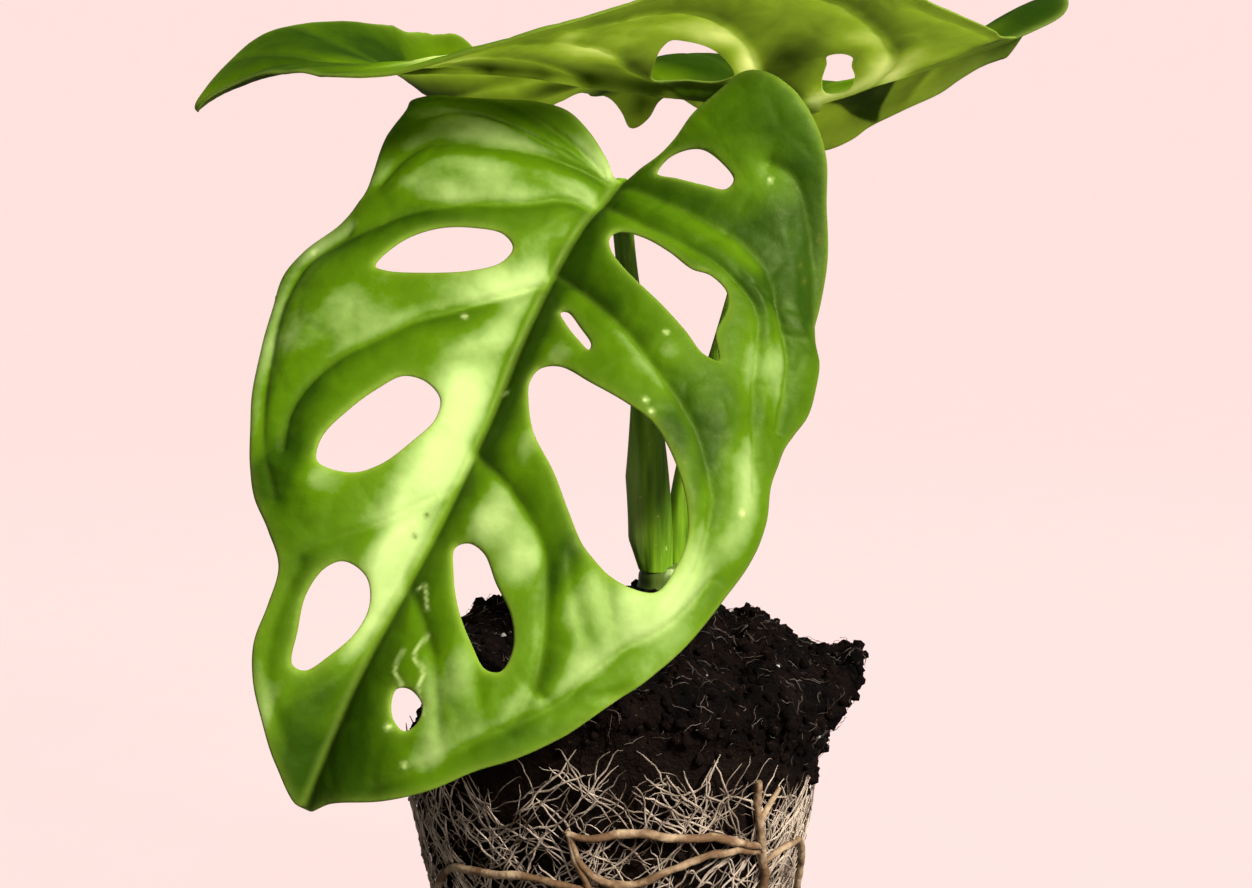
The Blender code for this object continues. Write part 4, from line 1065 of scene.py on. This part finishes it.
front_skin = stalk_skin("front_stalk_skin", (0.05, 0.13, 0.004), (0.2, 0.37, 0.01),
                        (0.35, 0.45, 0.12))
back_skin = stalk_skin("back_stalk_skin", (0.05, 0.13, 0.002), (0.2, 0.36, 0.01), (0.4, 0.5, 0.2))
front_path = guide_paths("front_path", [spline([(*c, r) for c, r in FRONT_STALK], 1.0)])
back_path = guide_paths("back_path", [spline([(*c, r) for c, r in BACK_STALK], 1.0)])
rod = {"Step": 0.0008, "Ridges": 0.00006, "WingLow": 0.068, "WingHigh": 0.096}
front_stalk = grow("front_leaf_stalk", front_path, STALK_TREE, Sides=36, Wing=0.0022,
                   WingTurn=0.04, Skin=front_skin, **rod)
back_stalk = grow("back_leaf_stalk", back_path, STALK_TREE, Sides=30, Wing=0.0,
                  WingTurn=0.0, Skin=back_skin, **rod)
discard(front_path, back_path)

# %% [markdown]
# ## Stem
#
# Both stalks clasp a short stem with rings of old leaf scars. A lathed profile with a Screw
# modifier would be round. A real stem is oval and uneven, so it is a stack of rings in plain mesh
# code, each ring a little out of round.

# %% Stem
STEM_AT = (8.2, 9.0)
STEM_ACROSS = (4.3, 3.7)
STEM_SWELL = [(47.0, 0.55), (50.0, 0.72), (55.0, 0.85), (58.0, 0.95), (60.5, 0.93), (61.2, 1.03),
              (62.2, 0.97), (64.8, 0.99), (65.4, 1.07), (66.4, 1.0), (68.0, 0.97), (69.4, 0.8)]
STEM_SIDES = 48


def ring_stack(name, rings):
    """A closed form from a list of rings of points, capped at both ends."""
    sides = len(rings[0])
    verts = [p for ring in rings for p in ring]
    faces = ring_faces(len(rings), sides)
    for k, turn in ((0, -1), (len(rings) - 1, 1)):
        verts.append(np.mean(rings[k], axis=0))
        middle = len(verts) - 1
        for i in range(sides):
            j = (i + 1) % sides
            pair = (i, j) if turn > 0 else (j, i)
            faces.append((k * sides + pair[0], k * sides + pair[1], middle))
    return make_mesh(name, verts, faces)


rings = []
for z, width in spline(STEM_SWELL, 0.4):
    ring = []
    for k in range(STEM_SIDES):
        turn = 2 * math.pi * k / STEM_SIDES
        wobble = 1.0 + 0.03 * math.sin(3 * turn + z * 0.3) + 0.012 * math.sin(11 * turn)
        ring.append((STEM_AT[0] + STEM_ACROSS[0] * width * wobble * math.cos(turn),
                     STEM_AT[1] + STEM_ACROSS[1] * width * wobble * math.sin(turn), z))
    rings.append(ring)
stem = ring_stack("stem_base", rings)
stem.data.materials.append(stalk_skin("stem_skin", (0.03, 0.06, 0.006), (0.09, 0.13, 0.02),
                                      (0.2, 0.17, 0.08)))
print("stem with", len(stem.data.polygons), "faces")

# %% [markdown]
# ## Soil
#
# The plug kept the tapered form of its pot. Below the roots it is smooth, above them it is torn.
# The form is the CAD's own rule with finer rings, and several sizes of noise on top, from lumps
# down to grains. Hills on the top follow the heap round the stem.

# %% Soil shape
SOIL_PROFILE = [(0.0, 21.8), (1.0, 23.1), (3.0, 24.0), (12.0, 25.3), (22.5, 26.9), (36.0, 29.8),
                (46.0, 31.2), (52.0, 32.4), (56.0, 33.0), (58.5, 31.6)]
NET_TOP = [(-180, 42.0), (-133, 45.5), (-117, 47.3), (-101, 49.0), (-80, 48.8), (-68, 47.8),
           (-50, 45.6), (-34, 42.0), (-18, 37.0), (20, 35.0), (60, 38.0), (100, 44.0),
           (140, 46.5), (180, 42.0)]
SOIL_SIDES = 270
TOP_RINGS = 40
CROWN_HEIGHT = 66.0
HOLE_FLOOR = 46.7
LUMP_SIZE, LUMP_HEIGHT = 7.0, 1.7


def wrap(angle):
    """The angle as -180 to 180 degrees."""
    return (angle + 180.0) % 360.0 - 180.0


def clump(angle, z):
    """How far the torn lump at the right pushes the soil out."""
    return 7.0 * math.exp(-(wrap(angle - 20.0) / 38.0) ** 2 - ((z - 54.5) / 8.5) ** 2)


def shoulder(angle, z):
    """How far the crumbled left side is drawn in."""
    return max(0.0, z - 42.0) * 0.55 * math.exp(-(wrap(angle - 180.0) / 52.0) ** 2)


def lumps(place, size, height):
    """Unevenness of torn soil at a place, the same on each run."""
    spot = Vector(place) / size
    return height * (noise.noise(spot) + 0.5 * noise.noise(spot * 2.3))


def bare(angle, z):
    """1 where the soil is torn and bare, 0 under the mat of roots."""
    edge = float(lerp_table(NET_TOP, wrap(angle)))
    return min(1.0, max(0.0, (z - edge - 1.0) / 5.0))


def soil_side(angle, z):
    """A point on the side of the plug."""
    turn = math.radians(angle)
    radius = float(lerp_table(SOIL_PROFILE, z))
    torn = bare(angle, z)
    if torn > 0.0:
        spot = (radius * math.cos(turn), radius * math.sin(turn), z)
        change = clump(angle, z) - shoulder(angle, z) + lumps(spot, LUMP_SIZE, LUMP_HEIGHT)
        radius += torn * change
    return (radius * math.cos(turn), radius * math.sin(turn), z)


def soil_rings():
    """Rings up the side, over the top and down the hole that holds the stem."""
    angles = [360.0 * k / SOIL_SIDES for k in range(SOIL_SIDES)]
    heights = np.concatenate([[0.0, 0.3, 0.8, 1.4, 2.2, 3.0], np.arange(3.8, 58.4, 0.8), [58.5]])
    rings = [[soil_side(a, z) for a in angles] for z in heights]
    rim = np.array(rings[-1])
    turns = np.radians(angles)
    hole = np.stack([STEM_AT[0] + (STEM_ACROSS[0] + 0.3) * np.cos(turns),
                     STEM_AT[1] + (STEM_ACROSS[1] + 0.3) * np.sin(turns),
                     np.full(SOIL_SIDES, CROWN_HEIGHT)], 1)
    for k in range(1, TOP_RINGS + 1):
        inward = k / TOP_RINGS
        ring = rim * (1 - inward) + hole * inward
        ring[:, 2] = rim[:, 2] + (CROWN_HEIGHT - rim[:, 2]) * inward ** 1.7
        if k < TOP_RINGS:
            swell = math.sin(math.pi * inward) ** 0.5
            ring[:, 2] += [lumps(p, LUMP_SIZE, LUMP_HEIGHT) * swell for p in ring]
        rings.append(ring)
    floor = hole.copy()
    floor[:, 2] = HOLE_FLOOR
    rings.append(floor)
    return rings


def from_stem(places):
    """How far points stand from the stem's middle, seen from above."""
    return np.hypot(places[:, 0] - STEM_AT[0], places[:, 1] - STEM_AT[1])


# hills and hollows of the torn top: x, reach and height
HILLS = [(31.0, 6.0, -3.2), (18.5, 2.5, -2.0), (35.0, 2.0, -1.2), (38.8, 1.2, 1.4),
         (-20.0, 7.0, 3.4)]


def heaped(rings):
    """The torn top raised and lowered by its hills, but level round the stem."""
    shaped = []
    for ring in rings:
        ring = np.array(ring, float)
        amount = np.clip((ring[:, 2] - 50.0) / 8.0, 0.0, 1.0)
        amount *= np.clip((from_stem(ring) - 5.5) / 4.0, 0.0, 1.0)
        for x, reach, height in HILLS:
            ring[:, 2] += amount * height * np.exp(-((ring[:, 0] - x) / reach) ** 2)
        shaped.append(ring)
    return shaped


soil = ring_stack("soil_plug", heaped(soil_rings()))
print("soil plug with", len(soil.data.polygons), "faces")

# %% [markdown]
# ### Grains
#
# Torn peat is rough at every size. The grains are added along the surface normals, so they look
# the same on the side and on the top, and each point keeps how torn it is for the material.

# %% Soil grains
GRAIN_SIZES = ((2.6, 0.75), (1.1, 0.4))    # size and height of each kind of grain
ROOTED_SHARE = 0.35        # how rough the soil still is under the roots
STEM_HOLE = 4.9
FOOT_HEIGHT = 0.5

verts = np.array([v.co for v in soil.data.vertices]) / MM
normals = np.array([v.normal for v in soil.data.vertices])
angle = np.degrees(np.arctan2(verts[:, 1], verts[:, 0]))
torn = np.array([bare(a, z) for a, z in zip(angle, verts[:, 2])])
inner = from_stem(verts) < STEM_HOLE
ground = verts[:, 2] < FOOT_HEIGHT
push = np.array([sum(lumps(p, *grain) for grain in GRAIN_SIZES) for p in verts])
push = push * (ROOTED_SHARE + (1.0 - ROOTED_SHARE) * torn) * ~inner * ~ground
verts += normals * push[:, None]
soil.data.vertices.foreach_set("co", (verts * MM).ravel())
soil.data.update()
store(soil, "torn", torn)
print("grains up to", round(float(np.abs(push).max()), 2), "mm")

# %% [markdown]
# ### Peat
#
# Moist peat is nearly black, browner in places and where the roots hold it, with a few lighter
# grains. Two sizes of the same noise are enough, one for clods and one for grains.


# %% Soil skin
def soil_skin(name):
    """Near-black peat with a brown stain under the roots and a few lighter grains."""
    made, tree, shader = new_material(name)
    clods = mottle(tree, 0.006, 6.0, 0.65)
    grains = mottle(tree, 0.0009, 3.0, 0.7)
    colour = blend_colours(tree, spread(tree, clods, 0.4, 0.7), (0.0006, 0.0002, 0.0001),
                           (0.006, 0.0025, 0.0015))
    stained = blend_colours(tree, clods, (0.0008, 0.0004, 0.0002), (0.011, 0.0055, 0.0033))
    colour = blend_colours(tree, painted(tree, "torn"), stained, colour)
    colour = blend_colours(tree, spread(tree, grains, 0.62, 0.76), colour, (0.035, 0.02, 0.012))
    tree.links.new(colour, shader.inputs["Base Color"])
    shader.inputs["Roughness"].default_value = 0.9
    shader.inputs["Specular IOR Level"].default_value = 0.06
    roughen(tree, shader, sum_up(tree, "ADD", clods, grains), 0.0009)
    return made


peat = soil_skin("peat")
soil.data.materials.append(peat)
print("peat on the soil plug")

# %% [markdown]
# ## Crumbs and roots that follow the ball
#
# Crumbs, root hairs and the mat of fine roots all lie on the surface of the ball. One tree
# scatters crumbs. Another scatters short lines, turns each to its own slant, bends it with
# noise, presses it back on to the surface, and only then gives it thickness.


# %% Crumb tree
def random_value(tree, low, high, seed):
    """A random number for each element, between two numbers or sockets."""
    fill = {2: low, 3: high, "Seed": seed}
    return add(tree, "FunctionNodeRandomValue", fill, data_type="FLOAT").outputs[1]


def scatter(tree, given):
    """Random places on the guide surface, denser where its `cover` value is high."""
    density = sum_up(tree, "MULTIPLY", given["Density"], read(tree, "cover"))
    return add(tree, "GeometryNodeDistributePointsOnFaces",
               {"Mesh": given["Geometry"], "Density": density, "Seed": given["Seed"]})


NOISE_MIDDLE = (0.5, 0.5, 0.5)


def crumb_tree():
    """Small angular crumbs scattered over the soil."""
    tree, given = open_tree("crumbs", Density="float", Small="float", Large="float", Seed="int",
                            Skin="material")
    spots = scatter(tree, given)
    grain = add(tree, "GeometryNodeMeshIcoSphere", {"Radius": 1.0, "Subdivisions": 1}).outputs[0]
    place = add(tree, "GeometryNodeInputPosition").outputs[0]
    dents = add(tree, "ShaderNodeTexNoise", {"Vector": place, "Scale": 1.3}).outputs["Color"]
    dents = move(tree, "SUBTRACT", dents, NOISE_MIDDLE)
    grain = add(tree, "GeometryNodeSetPosition", {"Geometry": grain, "Offset": dents}).outputs[0]
    size = random_value(tree, 0.0, 1.0, given["Seed"])
    size = sum_up(tree, "POWER", size, 2.5)
    size = spread(tree, size, 0.0, 1.0, given["Small"], given["Large"])
    turn = add(tree, "FunctionNodeRandomValue",
               {"Min": (0.0, 0.0, 0.0), "Max": (6.28, 6.28, 6.28)},
               data_type="FLOAT_VECTOR").outputs[0]
    turned = add(tree, "FunctionNodeEulerToRotation", {0: turn}).outputs[0]
    copies = add(tree, "GeometryNodeInstanceOnPoints",
                 {"Points": spots.outputs["Points"], "Instance": grain, "Rotation": turned,
                  "Scale": size}).outputs[0]
    return close_tree(tree, copies, given["Skin"])


CRUMB_TREE = crumb_tree()
print("crumb tree has", len(CRUMB_TREE.nodes), "nodes")

# %% [markdown]
# ### Strands
#
# Hundreds of fine roots lie over each other on the ball. They could be drawn one by one, but a
# rule is shorter: stand a short line on each scattered point, turn it to its slant, bend it with
# noise, press it on to the ball again, lift it a little, and give it a thickness that tapers.


# %% Root mat tree
def sway_amount(tree, own):
    """A slow rise and fall for each strand, so strands pass over and under each other."""
    place = add(tree, "GeometryNodeInputPosition").outputs[0]
    spot = move(tree, "ADD", move(tree, "SCALE", place, 160.0), own)
    return add(tree, "ShaderNodeTexNoise", {"Vector": spot, "Scale": 1.0}).outputs["Fac"]


def strand_tree():
    """Fine strands that lie on the guide surface, each with its own slant and length."""
    tree, given = open_tree("strands", Density="float", Length="float", LengthSpread="float",
                            Slant="float", SlantSpread="float", Wander="float",
                            WanderSize="float", Radius="float", Lift="float",
                            LiftSpread="float", Sides="int", Points="int", Seed="int",
                            Skin="material")
    spots = scatter(tree, given)
    dots = keep(tree, spots.outputs["Points"], "strand",
                random_value(tree, 0.0, 1.0, sum_up(tree, "ADD", given["Seed"], 7.0)))
    upright = add(tree, "FunctionNodeAlignRotationToVector",
                  {"Vector": spots.outputs["Normal"]}, axis="Z").outputs[0]
    upright = add(tree, "FunctionNodeAlignRotationToVector",
                  {"Rotation": upright, "Vector": (0.0, 0.0, 1.0)}, axis="Y",
                  pivot_axis="Z").outputs[0]
    swing = random_value(tree, -1.0, 1.0, sum_up(tree, "ADD", given["Seed"], 3.0))
    swing = sum_up(tree, "MULTIPLY", swing, given["SlantSpread"])
    lean = add(tree, "ShaderNodeCombineXYZ",
               {"Z": sum_up(tree, "ADD", given["Slant"], swing)}).outputs[0]
    turned = add(tree, "FunctionNodeRotateRotation",
                 {"Rotation": upright,
                  "Rotate By": add(tree, "FunctionNodeEulerToRotation", {0: lean}).outputs[0]},
                 rotation_space="LOCAL").outputs[0]
    long = random_value(tree, -1.0, 1.0, sum_up(tree, "ADD", given["Seed"], 5.0))
    long = sum_up(tree, "MULTIPLY", long, given["LengthSpread"])
    long = sum_up(tree, "ADD", given["Length"], long)
    line = add(tree, "GeometryNodeCurvePrimitiveLine",
               {"Start": (0.0, -0.5, 0.0), "End": (0.0, 0.5, 0.0)}).outputs[0]
    line = add(tree, "GeometryNodeResampleCurve",
               {"Curve": line, "Count": given["Points"]}).outputs[0]
    lines = add(tree, "GeometryNodeInstanceOnPoints",
                {"Points": dots, "Instance": line, "Rotation": turned,
                 "Scale": long}).outputs[0]
    lines = add(tree, "GeometryNodeRealizeInstances", {"Geometry": lines}).outputs[0]
    place = add(tree, "GeometryNodeInputPosition").outputs[0]
    own = sum_up(tree, "MULTIPLY", read(tree, "strand"), 31.0)
    shifted = move(tree, "ADD", move(tree, "SCALE", place, given["WanderSize"]), own)
    sway = add(tree, "ShaderNodeTexNoise", {"Vector": shifted, "Scale": 1.0}).outputs["Color"]
    sway = move(tree, "SCALE", move(tree, "SUBTRACT", sway, NOISE_MIDDLE), given["Wander"])
    lines = add(tree, "GeometryNodeSetPosition", {"Geometry": lines, "Offset": sway}).outputs[0]
    on_ball = add(tree, "GeometryNodeProximity", {"Target": given["Geometry"]},
                  target_element="FACES").outputs["Position"]
    outward = add(tree, "GeometryNodeSampleNearestSurface",
                  {"Mesh": given["Geometry"],
                   "Value": add(tree, "GeometryNodeInputNormal").outputs[0]},
                  data_type="FLOAT_VECTOR").outputs[0]
    lift = sum_up(tree, "MULTIPLY", sway_amount(tree, own), given["LiftSpread"])
    lift = sum_up(tree, "ADD", given["Lift"], lift)
    raised = move(tree, "ADD", on_ball, move(tree, "SCALE", outward, lift))
    lines = add(tree, "GeometryNodeSetPosition",
                {"Geometry": lines, "Position": raised}).outputs[0]
    factor = add(tree, "GeometryNodeSplineParameter").outputs["Factor"]
    arc = sum_up(tree, "SINE", sum_up(tree, "MULTIPLY", factor, math.pi))
    thin = spread(tree, sum_up(tree, "POWER", arc, 0.5), 0.0, 1.0, 0.3, 1.0)
    each = spread(tree, read(tree, "strand"), 0.0, 1.0, 0.6, 1.35)
    width = sum_up(tree, "MULTIPLY", sum_up(tree, "MULTIPLY", thin, each), given["Radius"])
    tubes = tube(tree, lines, circle(tree, given["Sides"], 1.0), width)
    return close_tree(tree, tubes, given["Skin"])


STRAND_TREE = strand_tree()
print("strand tree has", len(STRAND_TREE.nodes), "nodes")

# %% [markdown]
# ### Root colours
#
# Young roots are cream, older ones tan, and soil stains both. One material reads each strand's
# own random number, so neighbours differ, and adds stains with noise. Grit uses it too.


# %% Root skins
def root_skin(name, dark, pale, size):
    """Dull fibrous root: each strand has its own tone, with darker soil-stained stretches."""
    made, tree, shader = new_material(name)
    stains = mottle(tree, size, 3.0, 0.6)
    own = spread(tree, painted(tree, "strand"), 0.0, 1.0, -0.25, 0.35)
    amount = sum_up(tree, "ADD", spread(tree, stains, 0.35, 0.65), own, True)
    colour = blend_colours(tree, amount, dark, pale)
    tree.links.new(colour, shader.inputs["Base Color"])
    shader.inputs["Roughness"].default_value = 0.7
    shader.inputs["Specular IOR Level"].default_value = 0.15
    roughen(tree, shader, mottle(tree, 0.0007, 2.0), 0.0002)
    return made


fine_root = root_skin("fine_root_skin", (0.05, 0.03, 0.018), (0.42, 0.33, 0.25), 0.005)
tan_root = root_skin("thick_root_skin", (0.12, 0.065, 0.03), (0.46, 0.33, 0.2), 0.004)
fibre = root_skin("soil_fibre_skin", (0.006, 0.004, 0.003), (0.12, 0.095, 0.075), 0.004)
pale_grit = root_skin("white_grit", (0.25, 0.24, 0.2), (0.75, 0.73, 0.66), 0.003)
print("root skins ready")

# %% [markdown]
# ### Where roots and crumbs may lie
#
# The strands need a smooth surface to follow, so a plain band stands in for the ball's side while
# they grow. Its `cover` value says how dense the roots are, and is 0 above their ragged upper
# edge. The crumbs grow on the soil itself, mostly where it is torn.


# %% Guide surfaces
def ball_point(angle, z, lift):
    """A point on the smooth side of the root ball, lifted off it."""
    turn = math.radians(angle)
    radius = float(lerp_table(SOIL_PROFILE, z)) + lift
    return (radius * math.cos(turn), radius * math.sin(turn), z)


def ball_band():
    """The side of the ball from its foot to the upper edge of the roots, as a guide."""
    columns, rows = 180, 40
    low, above = 1.5, 3.0
    verts, cover = [], []
    for row in range(rows + 1):
        for col in range(columns):
            angle = wrap(360.0 * col / columns)
            top = float(lerp_table(NET_TOP, angle))
            z = low + (top + above - low) * row / rows
            verts.append(ball_point(angle, z, 0.25))
            ragged = top - 1.6 + 1.6 * math.sin(angle * 0.31) * math.sin(angle * 0.13 + 1.0)
            dense = 0.75 + 1.5 * math.exp(-(wrap(angle + 26.0) / 12.0) ** 2)
            cover.append(dense * (z < ragged))
    mesh = bpy.data.meshes.new("ball_band")
    faces = ring_faces(rows + 1, columns)
    mesh.from_pydata((np.array(verts) * MM).tolist(), [], faces)
    mesh.shade_smooth()
    made = place_in_scene("ball_band", mesh)
    store(made, "cover", cover)
    return made


band = ball_band()
store(soil, "cover", np.maximum(torn, 0.12) * ~inner * ~ground)
print("guide band with", len(band.data.polygons), "faces")

# %% Roots and crumbs
crumbs = grow("soil_crumbs", soil, CRUMB_TREE, Density=420000.0, Small=0.00016, Large=0.0011,
              Seed=4, Skin=peat)
grit = grow("soil_grit", soil, CRUMB_TREE, Density=4500.0, Small=0.00015, Large=0.0006, Seed=9,
            Skin=pale_grit)
every_way = {"Slant": 0.0, "SlantSpread": 3.1, "Wander": 0.003, "Lift": 0.0001, "Points": 7}
fibres = grow("soil_fibres", soil, STRAND_TREE, Density=170000.0, Length=0.0017,
              LengthSpread=0.0013, WanderSize=420.0, Radius=0.00005, LiftSpread=0.0008,
              Sides=3, Seed=21, Skin=fibre, **every_way)
mat = {"Density": 140000.0, "Length": 0.010, "LengthSpread": 0.005, "SlantSpread": 0.45,
       "Wander": 0.006, "WanderSize": 150.0, "LiftSpread": 0.0012, "Sides": 4, "Points": 12,
       "Skin": fine_root}
mat_left = grow("fine_roots_left", band, STRAND_TREE, Slant=0.75, Radius=0.00014, Lift=0.0002,
                Seed=11, **mat)
mat_right = grow("fine_roots_right", band, STRAND_TREE, Slant=-0.7, Radius=0.00013, Lift=0.0003,
                 Seed=12, **mat)
hairs = grow("root_hairs", band, STRAND_TREE, Density=160000.0, Length=0.0045,
             LengthSpread=0.002, WanderSize=300.0, Radius=0.00009, LiftSpread=0.0013,
             Sides=4, Seed=13, Skin=fine_root, **every_way)

# %% [markdown]
# ## Thick roots
#
# Thick tan roots run over the mat and branch. Free curves in space would sink into the ball or
# hover, so their routes are given by angle round the ball and height, and each stays on the
# surface. A tree sweeps them and lets their path and radius wander.


# %% Thick root tree
def root_tree():
    """Knobbly roots along given paths."""
    tree, given = open_tree("thick_roots", Sides="int", Step="float", Wander="float",
                            Skin="material")
    place = add(tree, "GeometryNodeInputPosition").outputs[0]
    sway = add(tree, "ShaderNodeTexNoise", {"Vector": place, "Scale": 170.0}).outputs["Color"]
    side = move(tree, "SCALE", move(tree, "SUBTRACT", sway, NOISE_MIDDLE), given["Wander"])
    path = add(tree, "GeometryNodeSetPosition",
               {"Geometry": even_path(tree, given), "Offset": side}).outputs[0]
    knobs = add(tree, "ShaderNodeTexNoise", {"Vector": place, "Scale": 420.0}).outputs["Fac"]
    knobs = spread(tree, knobs, 0.3, 0.7, 0.8, 1.15)
    width = sum_up(tree, "MULTIPLY", read(tree, "radius_mm"), knobs)
    return close_tree(tree, tube(tree, path, circle(tree, given["Sides"], MM), width),
                      given["Skin"])


ROOT_SLIMNESS = 0.62
ROOT_LIFT = 1.7
# each root's radius, then its route as angles and heights
THICK_ROOTS = [
    (1.1, [(-50.6, 44.6), (-50, 42), (-48.6, 37.3), (-46, 33), (-43, 27.5), (-45, 20), (-52, 12)]),
    (0.75, [(-43, 43), (-45.5, 41.5), (-49.5, 38.5)]),
    (1.05, [(-48, 35), (-55, 36.2), (-62, 37.8), (-75, 38.8), (-87, 39.9), (-95, 39),
            (-100.6, 39.6)]),
    (0.95, [(-48, 34), (-56, 35.2), (-65.5, 35.2), (-76, 33.7), (-85, 32.2), (-93, 32.9),
            (-98, 35.6), (-99.8, 39.2)]),
    (0.9, [(-100.5, 40), (-98.5, 35), (-96, 31.5), (-100, 25), (-112, 20), (-124, 18)]),
    (0.95, [(-46, 32), (-36.5, 33.2), (-25, 31.8), (-18, 26.5), (-12, 20.5), (0, 17.5), (14, 20.5),
            (26, 26)]),
    (1.0, [(-86, 32.1), (-94, 31.2), (-103, 31.6), (-112, 32.3), (-126, 31.6), (-139, 30.6),
           (-150, 26), (-162, 20.5), (-178, 18), (-196, 20), (-206, 24)]),
    (0.9, [(-125, 18), (-140, 13.5), (-158, 11.5), (-176, 13), (-192, 17), (-204, 23.5),
           (-214, 30)]),
    (0.9, [(-204, 23.5), (-222, 26), (-242, 23), (-262, 24), (-282, 26), (-300, 24),
           (-318, 24.5), (-334, 26)]),
    (0.85, [(-52, 12), (-66, 9), (-84, 10), (-100, 14), (-112, 19.8)])]

routes = []
for radius, route in THICK_ROOTS:
    bends = spline(route, 1.5)
    taper = np.sin(np.linspace(0.3, math.pi - 0.3, len(bends))) ** 0.3
    routes.append([(*ball_point(a, z, ROOT_LIFT), radius * ROOT_SLIMNESS * t)
                   for (a, z), t in zip(bends, taper)])
root_paths = guide_paths("root_paths", routes)
thick_roots = grow("thick_tan_roots", root_paths, root_tree(), Sides=12, Step=0.0006,
                   Wander=0.0014, Skin=tan_root)
discard(root_paths, band)

# %% [markdown]
# ## Hand over
#
# Every piece rides on the one rigid body, and the CAD node that it stands for is hidden.

# %% Ride and replace
DRESSING = [
    (front_leaf, "front_blade", "leaf"), (back_leaf, "back_blade", "leaf"),
    (front_stalk, "front_stalk", "stalk"), (back_stalk, "back_stalk", "stalk"),
    (stem, "stem", "stem"), (soil, "soil", "soil"), (crumbs, "soil", "soil"),
    (fibres, "soil", "soil"), (grit, "soil", "soil"), (mat_left, "root_net", "fine_roots"),
    (mat_right, "root_net", "fine_roots"), (hairs, "root_net", "fine_roots"),
    (thick_roots, "thick_roots", "thick_roots")]
for piece, node, finish in DRESSING:
    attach(piece, "root")
    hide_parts(node)
print(len(DRESSING), "pieces,", sum(len(p.data.polygons) for p, _, _ in DRESSING), "faces")
